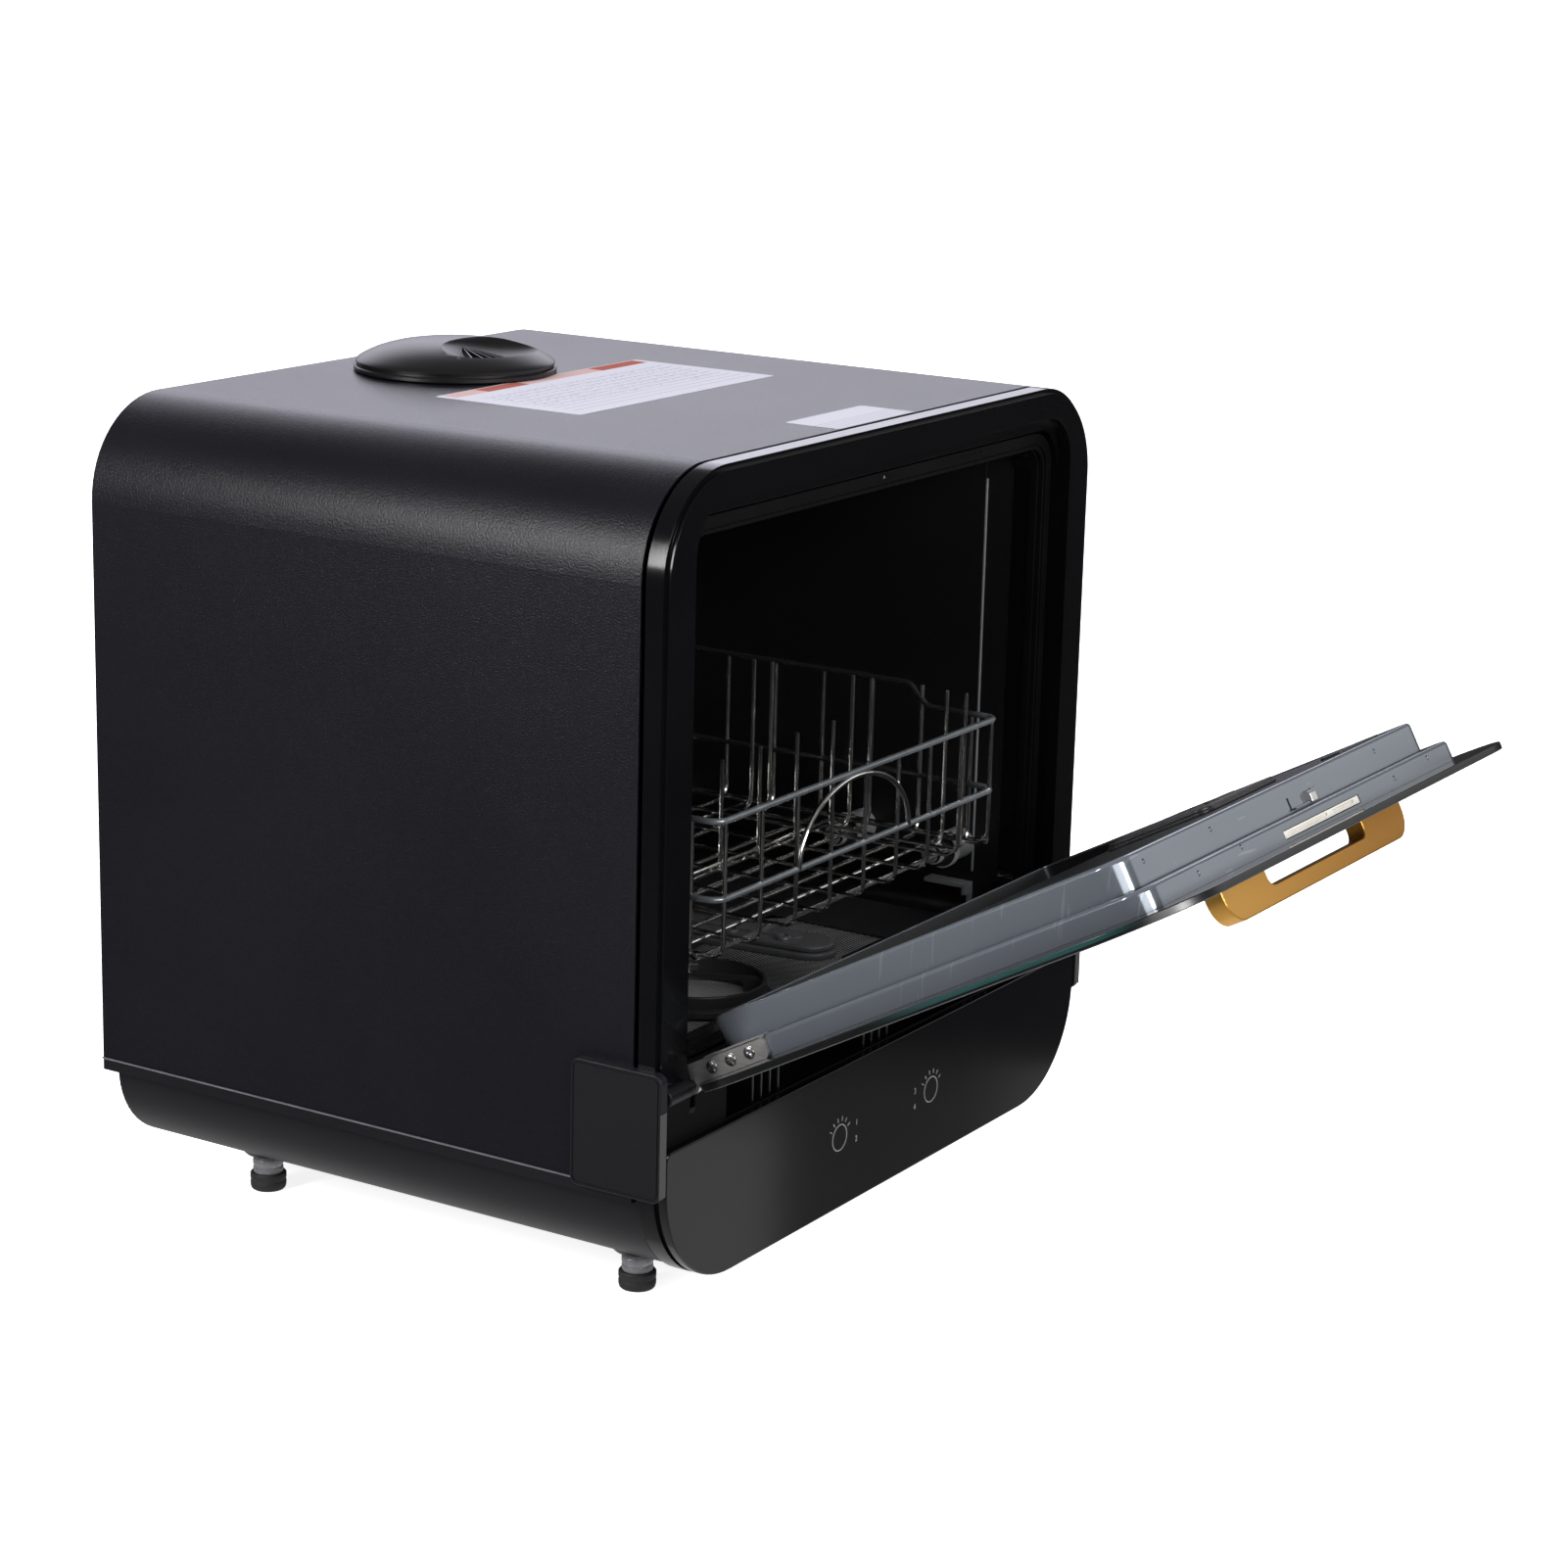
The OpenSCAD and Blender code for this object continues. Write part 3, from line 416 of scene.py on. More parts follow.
feet = [(x, y) for x in (-150, 150) for y in (51, 292)]
matt = grained("matt_moulding", (0.0030, 0.0030, 0.0045), (0.0058, 0.0058, 0.0082), rough=(0.36, 0.10, 0.06),
               cloud=(9, 2), grit=(1300, 3), relief=(0.00008, 0.5), specular=0.3)
pan = block("base_pan_moulding", (-203, 203), (15, 350), (25, 72))
round_off(pan, 46, lambda x, y, z: z < 30, along=1, steps=14)
add(pan, block("lip", (-210, 210), (15, 354), (71, 77.9)))
carve(pan, block("recess", (-206.6, 206.6), (20, 350.6), (74, 80)))
for x, y in feet:
    add(pan, turned("boss", [(12, 20.5), (15.5, 24), (16, 30)], (x, y, 0)))
soften(pan, 0.8, 3)
fit(pan, matt, "cabinet", "base_plastic", "base_pan")
# a thin grey bead over the pan's lip at the seam: its grey is a painted highlight, the light line that the lip's edge
# catches
bead = block("pan_seam_highlight", (-210.7, 210.7), (14.6, 354.4), (77.0, 77.8))
carve(bead, block("inside", (-209.8, 209.8), (16, 353.4), (76, 79)))
seam_highlight_grey = grained("seam_highlight_paint", (0.045, 0.045, 0.050), (0.11, 0.11, 0.12), rough=(0.3,), cloud=(90, 2))
fit(bead, seam_highlight_grey, "cabinet", "base_plastic")
matt.put_on(*(nodes[name] for name in ("fill_duct", "drain_spout", "cord_gland")))

# ---- Feet ----
# Screwed stems of clear grey plastic in black rubber pads, one under each
# boss of the pan. The rubber has a small foot ring and a worn lower edge.
rubber = grained("foot_rubber", (0.009, 0.009, 0.0095), (0.021, 0.021, 0.022), rough=(0.58, 0.2),
                 cloud=(500, 3), relief=(0.0001, 0.4))
stem_plastic = grained("stem_plastic", (0.09, 0.09, 0.095), (0.20, 0.20, 0.21), rough=(0.18, 0.15),
                       cloud=(300, 2), specular=0.6)
pads = []
stems = []
for x, y in feet:
    pads.append(turned("pad", [(7.8, 0), (8.6, 0), (9.2, 0.6), (9.6, 2), (9.7, 4), (9.3, 5.2), (9.7, 6.2),
                               (9.7, 8.6), (9, 9.5), (5, 9.5)], (x, y, 0), steps=40))
    stems.append(turned("stem", [(5.5, 9.2), (8.0, 9.6), (8.1, 12), (7.7, 13.2), (8.2, 14.2), (8.2, 16.4),
                                 (7.5, 17.4), (5, 20), (5, 27)], (x, y, 0), steps=40))
fit(gather("rubber_feet", pads), rubber, "cabinet", "foot_rubber", "foot_pads")
fit(gather("clear_stems", stems), stem_plastic, "cabinet", "bare_steel", "foot_stems")

# ---- Front frame ----
# Moulded black frame round the opening. A rebate and a well take the door's
# steel steps, and under them runs an air way whose face is covered by a thin
# sheet of painted shade, with ribs whose front edges carry grey beads of painted highlight.


def slab(name, x, y, z, radius, steps=10):
    """A block with round corners as seen from the front."""
    return round_off(block(name, x, y, z), radius, along=1, steps=steps)


frame_gloss = grained("satin_moulding", (0.0015, 0.0015, 0.002), (0.003, 0.003, 0.0035), rough=(0.12, 0.03, 0.05),
                      cloud=(14, 2), grit=(900, 2), relief=(0.00003, 0.4), specular=0.21)
ring = block("front_frame_moulding", (-210, 210), (2.4, 12.3), (22, 428))
round_off(ring, 52, lambda x, y, z: z > 400, along=1, steps=18)
round_off(ring, 60, lambda x, y, z: z < 30, along=1, steps=18)
front_plate = block("front_plate", (-207.6, 207.6), (0, 4), (24.4, 425.6))
round_off(front_plate, 49.6, lambda x, y, z: z > 400, along=1, steps=18)
round_off(front_plate, 57.6, lambda x, y, z: z < 30, along=1, steps=18)
add(ring, front_plate)
add(ring, slab("well_wall", (-188.5, 188.5), (3, 21.5), (118.5, 406.5), 24.5))
add(ring, slab("sleeve", (-178.5, 178.5), (20, 29.3), (134.5, 395.5), 18.5))
add(ring, block("vent_housing", (-152.5, 152.5), (10, 28.5), (98.5, 121)))
carve(ring, slab("well", (-186, 186), (-2, 19), (121, 404), 22))
carve(ring, slab("rebate", (-186, 186), (-2, 8), (121, 412), 26))
carve(ring, slab("mouth", (-176, 176), (18, 31), (137, 393), 16))
vent = (-150, 150), (-2, 26), (101, 118.5)
carve(ring, block("vent", *vent))
for side in (-1, 1):
    carve(ring, turned("pocket", [(11.5, -2.25), (11.5, 2.25)], (side * 180.35, 0, HINGE_Z), (0, 90, 0)))
soften(ring, 0.5, 3, 40)
fit(ring, frame_gloss, "cabinet", "bezel_plastic", "front_bezel")

# a thin near-black sheet with almost no gloss over the face round the vent: painted shade, for the shadow that the
# door casts there
air_way_shade = block("air_way_shade_sheet", (-206.8, 206.8), (-0.12, 1), (100.2, 121.4))
carve(air_way_shade, block("vent", *vent))
for side in (-1, 1):
    carve(air_way_shade, block("pocket", sorted((side * 177.6, side * 183.1)), (-3, 3), (112, 124)))
vent_black_and_shade = grained("vent_moulding_and_shade", (0.0015, 0.0015, 0.0017), (0.0032, 0.0032, 0.0034), rough=(0.6,),
                     cloud=(30, 2), specular=0.06)
fit(air_way_shade, vent_black_and_shade, "cabinet", "bezel_plastic")
rib_places = [group + i for group in (-108, 0, 108) for i in (-12, -4, 4, 12)]
ribs = [soften(block("rib", (x - 0.6, x + 0.6), (4, 27), (100.5, 119)), 0.25) for x in rib_places]
fit(gather("vent_ribs", ribs), vent_black_and_shade, "cabinet", "bezel_plastic")
# thin grey strips on the ribs' front edges: painted highlights, the light that those edges catch
beads = [soften(block("bead", (x - 0.45, x + 0.45), (3.3, 4.1), (101, 118.5)), 0.2) for x in rib_places]
rib_highlight_grey = grained("rib_highlight_paint", (0.018, 0.018, 0.0185), (0.040, 0.040, 0.041), rough=(0.35,), cloud=(200, 2))
fit(gather("vent_rib_bead_highlights", beads), rib_highlight_grey, "cabinet", "bezel_plastic")

# bosses under the glass's lower corners, which hold the hinge pins
bosses = [turned("boss", [(3.1, -9.8), (4.2, -9.8), (4.8, -9.2), (4.8, 9.2), (4.2, 9.8), (3.1, 9.8)],
                 (side * 196, 0, HINGE_Z), (0, 90, 0)) for side in (-1, 1)]
fit(gather("hinge_bosses", bosses), matt, "cabinet", "bezel_plastic")

# ---- Control panel ----
# Gloss black front under the door with a rounded front edge. Two touch rings
# with ticks are printed behind it, and plain numbers beside them.
gloss = grained("panel_gloss", (0.0012, 0.0012, 0.0016), (0.0026, 0.0026, 0.0033), rough=(0.02, 0.02, 0.05),
                cloud=(5, 2), grit=(700, 2))
gloss.bump(gloss.grain(20, 1), 0.00005, 0.25)
panel = block("control_panel_front", (-209, 209), (-4.6, -0.05), (22, 100))
round_off(panel, 59, lambda x, y, z: z < 30, along=1, steps=18)
round_off(panel, 4, lambda x, y, z: z > 90, along=1)
round_off(panel, 1.1, lambda x, y, z: y < -4.5, steps=4)
fit(panel, gloss, "cabinet", "panel_gloss", "control_panel")

ink = grained("panel_print", (0.12, 0.12, 0.125), (0.22, 0.22, 0.225), rough=(0.4, 0.2), cloud=(900, 2))
ink.put_on(nodes["panel_marks"])


def number(text, x, z, height):
    """A plain printed number that lies on the panel."""
    bpy.ops.object.select_all(action="DESELECT")
    bpy.ops.object.text_add()
    figure = bpy.context.object
    figure.data.body = text
    figure.data.size = height * MM
    figure.data.align_x, figure.data.align_y = "CENTER", "CENTER"
    figure.data.extrude = 0.05 * MM
    bpy.ops.object.convert(target="MESH")
    figure.data.transform(shift(x, -4.65, z) @ spun(90, "X"))
    return figure


numbers = [number(str(first + i), x, 65 - 9 * i, 4.8) for first, x in ((1, -30.3), (3, 30.3)) for i in range(2)]
fit(gather("panel_numbers", numbers), ink, "cabinet", "panel_print")

# ---- Hinge covers ----
# Moulded caps that hide the hinges on both sides, with a double line round
# the face and a grey strip of trim on the front edge.


def copy(piece, name, way):
    """A copy with its own mesh, moved by a matrix."""
    twin = piece.copy()
    twin.data = piece.data.copy()
    twin.name = name
    bpy.context.scene.collection.objects.link(twin)
    twin.data.transform(way)
    if way.determinant() < 0:
        twin.data.flip_normals()
    return twin


MIRROR = Matrix.Scale(-1, 4, (1, 0, 0))
cover = block("hinge_cover_shell_right", (210.05, 215.2), (-5, 48), (76, 141))
round_off(cover, 4.5, along=0)
round_off(cover, 0.6, lambda x, y, z: x > 215, steps=3)
groove = round_off(block("groove", (214.8, 217), (-3.6, 46.6), (77.4, 139.6)), 3.4, along=0)
carve(groove, round_off(block("field", (214, 218), (-2.8, 45.8), (78.2, 138.8)), 2.8, along=0))
carve(cover, groove)
carve(cover, block("hollow", (209, 213.6), (-2, 45), (79, 138)))
cover_left = copy(cover, "hinge_cover_shell_left", MIRROR)
trim = block("hinge_trim_right", (210.4, 215.6), (-5.3, -4.7), (79, 122))
soften(trim, 0.25, 3)
trim_left = copy(trim, "hinge_trim_left", MIRROR)
fit(cover, matt, "cabinet", "base_plastic", "hinge_cover_right")
fit(cover_left, matt, "cabinet", "base_plastic", "hinge_cover_left")
trim_grey = grained("trim_grey", (0.024, 0.024, 0.025), (0.040, 0.040, 0.041), rough=(0.28, 0.15), cloud=(700, 2))
fit(trim, trim_grey, "cabinet", "base_plastic")
fit(trim_left, trim_grey, "cabinet", "base_plastic")

# ---- Filler cap ----
# Round black cap over the water filler, with a stepped rim, a low dome and a
# finger scoop whose floor carries six ribs that spread like a fan.
CAP = (0, 281, 428.3)
cap_gloss = grained("cap_moulding", (0.003, 0.003, 0.0035), (0.0055, 0.0055, 0.006), rough=(0.31, 0.10),
                    cloud=(20, 2), grit=(1100, 2), relief=(0.00004, 0.5), specular=0.4)
cap = turned("filler_cap", [
    (40, 0), (54.2, 0), (55, 0.7), (55, 2.4), (54.4, 3.0), (52.9, 3.1), (52.9, 4.1), (53.9, 4.4), (54.0, 5.4),
    (53.2, 6.4), (51.2, 7.7), (48, 9.4), (44, 11.2), (39, 12.9), (33, 14.5), (26, 15.7), (18, 16.5),
    (9, 16.8), (2, 16.85), (0.1, 16.85),
], CAP, steps=96)
scoop_at = shift(3, 259, CAP[2] + 15.9) @ spun(7, "X") @ spun(3.3, "Y")
bpy.ops.object.select_all(action="DESELECT")
bpy.ops.mesh.primitive_uv_sphere_add(segments=48, ring_count=24, radius=1)
scoop = bpy.context.object
scoop.data.transform(scoop_at @ Matrix.Diagonal((0.0395, 0.0212, 0.0085, 1)))
carve(cap, scoop)
for i in range(6):
    rib = block("rib", (2, 34), (-0.5, 0.5), (-10, -5.2))
    round_off(rib, 0.35, lambda x, y, z: z > -6, steps=2)
    rib.data.transform(scoop_at @ shift(-1, 18.5) @ spun(-146 + i * 12, "Z"))
    add(cap, rib)
add(cap, turned("plug", [(38.5, -12), (42, -11), (42, 0.5), (30, 0.6)], CAP, steps=96))
soften(cap, 0.35, 2, 40)
fit(cap, cap_gloss, "cap", "cap_plastic", "fill_cap")

# ---- Stickers on the top ----
# Two white film stickers. The large one has a band of faded orange along its
# rear edge with two darker patches, and pale rules; neither carries any words.
film = Finish("label_film", specular=0.0)
film_x = film.axis("X")
film_y = film.axis("Y")
band = film.step(film_y, 166, 167) * (1 - film.step(film_y, 176.2, 177)) * film.step(film_x, -80, -79)
band = band * (1 - film.step(film_x, 95, 96))
patch = film.step(film_x, -52, -51) * (1 - film.step(film_x, -16, -15)) + film.step(film_x, 52, 53)
rules = ((film_y % 6.4) < 0.55) * (film_y < 160) * (film_y > 96) * (film_x > -74) * (film_x < 92)
marks = (film.grain(420, 1, stretch=(1, 1, 0)) > 0.56) * ((film_y % 6.4) > 3.2) * (film_y < 158) * (film_y > 112)
marks = marks * (film_x > -70) * (film_x < 88)
small_rules = ((film_y % 3.4) < 0.6) * (film_y < -22) * (film_y > -38)
paper = film.mix(film.grain(900, 2), (0.41, 0.405, 0.465), (0.47, 0.465, 0.53))
paper = film.mix(rules * 0.8 + small_rules * 0.7, paper, (0.20, 0.20, 0.25))
paper = film.mix(marks * 0.5, paper, (0.22, 0.22, 0.27))
paper = film.mix(band * 0.6, paper, (0.42, 0.20, 0.155))
film.paint(film.mix(band * patch * 0.85, paper, (0.26, 0.055, 0.035)))
film.rough(0.34 + film.grain(60, 2) * 0.12)
film.put_on(nodes["top_label_large"], nodes["top_label_small"])

# ---- Wash tub ----
# One black moulding with a satin skin. Thin plates line its side walls, with a
# pale strip of painted highlight down their front edges; a grey plate with a clip
# lies on the floor, and a small angle stands at the right, just behind the seal.
tub_skin = grained("tub_moulding", (0.0035, 0.0035, 0.0037), (0.0065, 0.0065, 0.0068), rough=(0.26, 0.05, 0.16),
                   cloud=(7, 3), grit=(800, 2), relief=(0.00006, 0.4), specular=0.4)
tub_skin.put_on(nodes["tub"], nodes["sump"])

plates = []
for side in (-1, 1):
    plate = block("plate", sorted((side * 174.7, side * 175.9)), (46, 300), (146, 396))
    round_off(plate, 9, lambda x, y, z: z > 390, along=0)
    plates.append(soften(plate, 0.35))
fit(gather("tub_side_plates", plates), tub_skin, "cabinet", "tub_plastic")
# pale strips on the plates' front edges: painted highlight, the light line that those edges catch
edges = [soften(block("edge", sorted((side * 174.8, side * 175.9)), (44.9, 46.1), (146, 372)), 0.3, 3)
         for side in (-1, 1)]
grey_trim_and_highlight = grained("grey_moulding_and_highlight", (0.14, 0.145, 0.15), (0.21, 0.215, 0.225), rough=(0.30, 0.15), cloud=(700, 2))
angle_piece = block("tub_angle", (167, 175.9), (45, 47.4), (118.2, 140))
add(angle_piece, block("shelf", (167, 175.9), (45, 72), (137.6, 140)))
carve(angle_piece, block("gap", (160, 172.6), (44, 48), (116, 133.5)))
soften(angle_piece, 0.5, 3)
fit(angle_piece, grey_trim_and_highlight, "cabinet", "tub_plastic")
fit(gather("tub_plate_edge_highlights", edges), grey_trim_and_highlight, "cabinet", "tub_plastic")
floor_grey = grained("floor_moulding", (0.022, 0.022, 0.023), (0.036, 0.036, 0.038), rough=(0.30, 0.14),
                     cloud=(14, 3), specular=0.4)
plate = round_off(block("tub_floor_plate", (-172, 172), (40, 290), (117.7, 118.5)), 8, along=2)
carve(plate, block("mesh_bay", (-112.5, 112.5), (30, 140.5), (110, 120)))
HUB = (0, 165, 0)
carve(plate, turned("hub_bay", [(27, 110), (27, 125)], HUB, steps=48))
soften(plate, 0.3)
fit(plate, floor_grey, "cabinet", "tub_plastic")
clip = round_off(block("tub_clip", (55, 101), (51, 59), (117.7, 122.6)), 2.2, along=2, steps=4)
for i in range(5):
    carve(clip, block("notch", (62 + i * 7, 64.6 + i * 7), (50, 55.5), (120.2, 124)))
soften(clip, 0.5)
fit(clip, matt, "cabinet", "pump_plastic")

# ---- Seal ----
# Hollow black rubber lip that fills the well round the mouth. Two studs in
# eyelets pin its upper run to the frame; their pale grey is a painted glint.
seal = grained("seal_rubber", (0.0018, 0.0018, 0.0018), (0.0036, 0.0036, 0.0038), rough=(0.36, 0.16),
               cloud=(40, 3), specular=0.12)
seal_ring = slab("seal_ring", (-184.5, 184.5), (10.9, 18.95), (128, 402), 20)
carve(seal_ring, slab("bore", (-175.5, 175.5), (9, 21), (137, 393), 13))
carve(seal_ring, slab("groove", (-179.0, 179.0), (9, 12.4), (133.5, 396.5), 15.5))
add(seal_ring, slab("lip", (-177.6, 177.6), (11.2, 13.4), (134.9, 395.1), 14.5))
carve(seal_ring, slab("bore", (-175.9, 175.9), (9, 14.5), (136.6, 393.4), 13.2))
studs = []
for x, radius in ((4, 1.5), (104, 1.0)):
    carve(seal_ring, turned("eyelet", [(radius, 0), (radius, 5)], (x, 14, 399.1), (90, 0, 0), steps=20))
    studs.append(turned("stud", [(radius - 0.5, 0), (radius - 0.5, 2.4), (radius - 0.8, 2.7)],
                        (x, 14.2, 399.1), (90, 0, 0), steps=16))
soften(seal_ring, 0.6, 3, 40)
fit(seal_ring, seal, "cabinet", "seal_rubber", "tub_gasket")
# the studs are pins, and their pale grey is a painted highlight, the glint inside each eyelet
fit(gather("seal_studs_glint", studs), grey_trim_and_highlight, "cabinet", "white_plastic")

# ---- Floor mesh and filter cup ----
# Punched stainless sheet over the sump, and a dark moulded cup that twists
# into it, with a fine mesh sleeve, a tall collar and a straight grip bar.


def punched(across, along, pitch, share):
    """1 in the holes of a sheet punched on a triangular pattern, 0 on the metal."""
    holes = None
    for shift_by in (0.0, 0.5):
        u = (across * (1 / pitch) + shift_by) % 1.0 - 0.5
        v = (along * (1 / (pitch * 1.732)) + shift_by) % 1.0 - 0.5
        hole = u * u + v * v * 3.0 < share
        holes = hole if holes is None else holes + hole
    return holes


CUP = (-42, 88, 0)
mesh_sheet = Finish("punched_steel")
sheet_holes = punched(mesh_sheet.axis("X"), mesh_sheet.axis("Y"), 2.5, 0.15)
sheet_stain = mesh_sheet.grain(22, 3)
sheet_metal = mesh_sheet.mix(sheet_stain, (0.34, 0.34, 0.35), (0.55, 0.55, 0.56))
mesh_sheet.paint(mesh_sheet.mix(sheet_holes, sheet_metal, (0.006, 0.006, 0.006)))
mesh_sheet.metal((1 - sheet_holes) * 0.4)
mesh_sheet.rough(0.30 + sheet_stain * 0.2 + sheet_holes * 0.4)
mesh_sheet.bump(sheet_holes, 0.0003, 0.8)
sheet = round_off(block("floor_mesh", (-112, 112), (36, 140), (116.05, 117.6)), 10, along=2, steps=8)
carve(sheet, turned("opening", [(37, 112), (37, 122)], CUP, steps=64))
soften(sheet, 0.4)
fit(sheet, mesh_sheet, "cabinet", "mesh_steel", "filter_plate")

cup_black = grained("filter_moulding", (0.014, 0.014, 0.0145), (0.028, 0.028, 0.029), rough=(0.26, 0.14),
                    cloud=(18, 2), grit=(600, 2), relief=(0.00006, 0.4), specular=0.45)
collar = turned("filter_collar", [
    (30.9, 114), (33.2, 117), (33.9, 121), (33.9, 128.6), (34.3, 129.6), (35.1, 130), (35.9, 129.6), (36.3, 128.6),
    (36.3, 123.6), (37.2, 122.9), (38.6, 122.7), (39.2, 122.1), (39.2, 120.3), (38.8, 119), (37.6, 118.2),
    (34, 118.2), (34, 112), (34, 100), (34, 98), (32.6, 96.5), (30.9, 96.5), (30.9, 114),
], CUP, steps=80, shut=False)
floor = turned("floor", [(32.6, 66), (33.9, 67.4), (34, 70), (31, 70), (31, 68), (0.1, 68)], CUP, steps=80)
pieces = [collar, floor]
for i in range(8):
    stay = block("stay", (-1.6, 1.6), (31, 34), (68, 98))
    stay.data.transform(shift(*CUP) @ spun(45 * i, "Z"))
    pieces.append(soften(stay, 0.4))
for i in range(4):
    tab = block("tab", (-7, 7), (32.4, 35.2), (122.6, 127.2))
    tab.data.transform(shift(*CUP) @ spun(45 + 90 * i, "Z"))
    pieces.append(soften(tab, 0.8, 3))
grip = round_off(block("grip", (-1.3, 1.3), (-34, 34), (119, 127.5)), 3, lambda x, y, z: z > 127, along=0, steps=5)
gap = block("finger_gap", (-3, 3), (-24, 24), (117, 124.5))
carve(grip, round_off(gap, 2.5, lambda x, y, z: z > 124, along=0))
grip.data.transform(shift(*CUP) @ spun(20, "Z") @ shift(17) @ Matrix.Diagonal((1, 0.86, 1, 1)))
pieces.append(soften(grip, 0.5))
fit(gather("filter_cup_body", pieces), cup_black, "filter", "filter_plastic", "filter_cup")
sleeve_mesh = Finish("woven_mesh")
weave_x, weave_y, weave_z = (sleeve_mesh.axis(letter) for letter in "XYZ")
weave = ((weave_x + weave_y) % 2.0 > 0.7) * ((weave_x - weave_y + weave_z) % 2.0 > 0.7)
sleeve_mesh.paint(sleeve_mesh.mix(weave, (0.60, 0.60, 0.61), (0.010, 0.010, 0.010)))
sleeve_mesh.metal(0.5 - weave * 0.4)
sleeve_mesh.bump(weave, 0.0002, 0.8)
sleeve_mesh.rough(0.30 + sleeve_mesh.grain(90, 2) * 0.2)
sleeve = turned("sleeve", [(32.2, 68), (32.2, 98), (31.8, 98), (31.8, 68), (32.2, 68)], CUP, steps=80, shut=False)
strainer = turned("strainer", [(33, 117), (33, 117.6), (0.1, 118.2)], CUP, steps=64)
fit(gather("filter_mesh_sleeve", [sleeve, strainer]), sleeve_mesh, "filter", "filter_plastic")

# ---- Spray arm ----
# Two moulded halves welded flat together: a paddle with rounded ends that
# spins on the hub. Raised jets stand on its top, slotted in turn.
arm_grey = grained("arm_moulding", (0.05, 0.051, 0.054), (0.085, 0.087, 0.092), rough=(0.28, 0.14),
                   cloud=(15, 2), grit=(500, 2), relief=(0.00006, 0.4), specular=0.45)
half_w, half_l = 15, 128
paddle = block("spray_paddle", (-half_w, half_w), (-half_l, half_l), (136, 140.2))
round_off(paddle, 14.9, along=2, steps=16)
soften(paddle, 1.3, 3, 60)
upper = block("upper", (-half_w + 1.4, half_w - 1.4), (-half_l + 1.4, half_l - 1.4), (140, 144))
round_off(upper, 13.5, along=2, steps=16)
soften(upper, 1.6, 4, 60)
add(paddle, upper)
for side in (-1, 1):
    spine = round_off(block("spine", (-4, 4), sorted((side * 24, side * 108)), (143, 145)), 3.8, along=2)
    add(paddle, soften(spine, 0.7, 3, 60))
add(paddle, turned("collar", [(21, 134.2), (22, 135), (22, 144.6), (20.5, 146), (14, 146)], steps=64))
for side in (-1, 1):
    for i, reach in enumerate((40, 70, 100)):
        at = (side * (6 + 2.4 * (i % 2)), side * reach, 0)
        jet = turned("jet", [(4.6, 143), (4.6, 144.8), (4.1, 145.6), (2.9, 146), (2.5, 144.4)], at, steps=24)
        add(paddle, jet)
        slot = block("slot", (-2.6, 2.6), (-0.9, 0.9), (141.5, 147))
        slot.data.transform(shift(*at) @ spun(35 * i, "Z"))
        carve(paddle, slot)
carve(paddle, turned("bore", [(8.06, 130), (8.06, 150)], steps=48))
paddle.data.transform(shift(*HUB) @ spun(6, "Z"))
fit(paddle, arm_grey, "spray", "arm_plastic", "spray_arm")
arm_grey.put_on(nodes["spray_hub"], nodes["wash_pump"], nodes["drain_pump"])

# ---- Rollers ----
# Six black spools on pins in the tub's side walls, each with a narrow pale
# sleeve and a broad pale tread. The basket's runner wires lie in the grooves.
spool_black = grained("spool_moulding", (0.009, 0.009, 0.0095), (0.018, 0.018, 0.019), rough=(0.30, 0.15),
                      cloud=(60, 2), grit=(500, 2))
rim_grey = grained("rim_moulding", (0.30, 0.305, 0.31), (0.46, 0.465, 0.475), rough=(0.34, 0.14),
                   cloud=(120, 2), grit=(500, 2))
runner_x, roller_z = 150, 162.2
roller_rows = (("front", 54), ("middle", 118), ("rear", 246))
for side_name, side in (("left", -1), ("right", 1)):
    for row_name, y in roller_rows:
        name = f"roller_{side_name}_{row_name}"
        spool = turned("spool", [
            (3.1, -6.2), (5.9, -6.2), (5.9, -3.0), (8.2, -3.0), (8.4, -2.8), (7.5, -2.3), (7.5, 2.0), (8.6, 2.6),
            (9.9, 2.6), (9.9, 6.6), (6.6, 6.6), (6.4, 7), (3.1, 7), (3.1, -6.2),
        ], steps=40, shut=False)
        sleeve = turned("sleeve", [(5.7, -7.1), (6.2, -7.1), (6.5, -6.8), (6.5, -3.1), (5.7, -3.1), (5.7, -7.1)],
                        steps=40, shut=False)
        tread = turned("tread", [(9.7, 2.5), (10.2, 2.5), (10.5, 2.8), (10.5, 6.6), (10.1, 7), (9.7, 7), (9.7, 2.5)],
                       steps=40, shut=False)
        rim = gather(f"{name}_rims", [sleeve, tread])
        for piece in (spool, rim):
            piece.data.transform(shift(side * runner_x, y, roller_z) @ spun(side * 90, "Y"))
        spool.name = f"{name}_spool"
        fit(spool, spool_black, name, "roller_plastic", name)
        fit(rim, rim_grey, name, "roller_plastic")
mounts = []
for side in (-1, 1):
    for _, y in roller_rows:
        mounts.append(turned("mount", [
            (1.2, 139.5), (4.4, 139.5), (5, 140), (5, 141.1), (3, 141.1), (3, 158.1), (7.6, 158.1), (8.4, 158.8),
            (9, 162), (9, 175.9)], (0, y, roller_z), (0, side * 90, 0)))
fit(gather("roller_pins", mounts), grey_trim_and_highlight, "cabinet", "white_plastic", "roller_mounts")

# ---- Basket ----
# Welded from bright stainless wire: U-shaped wires both ways make the floor
# and walls, two thick dull rails run round them, and rows of tines stand on
# foot wires. A bow at the front lets a hand lift the basket.


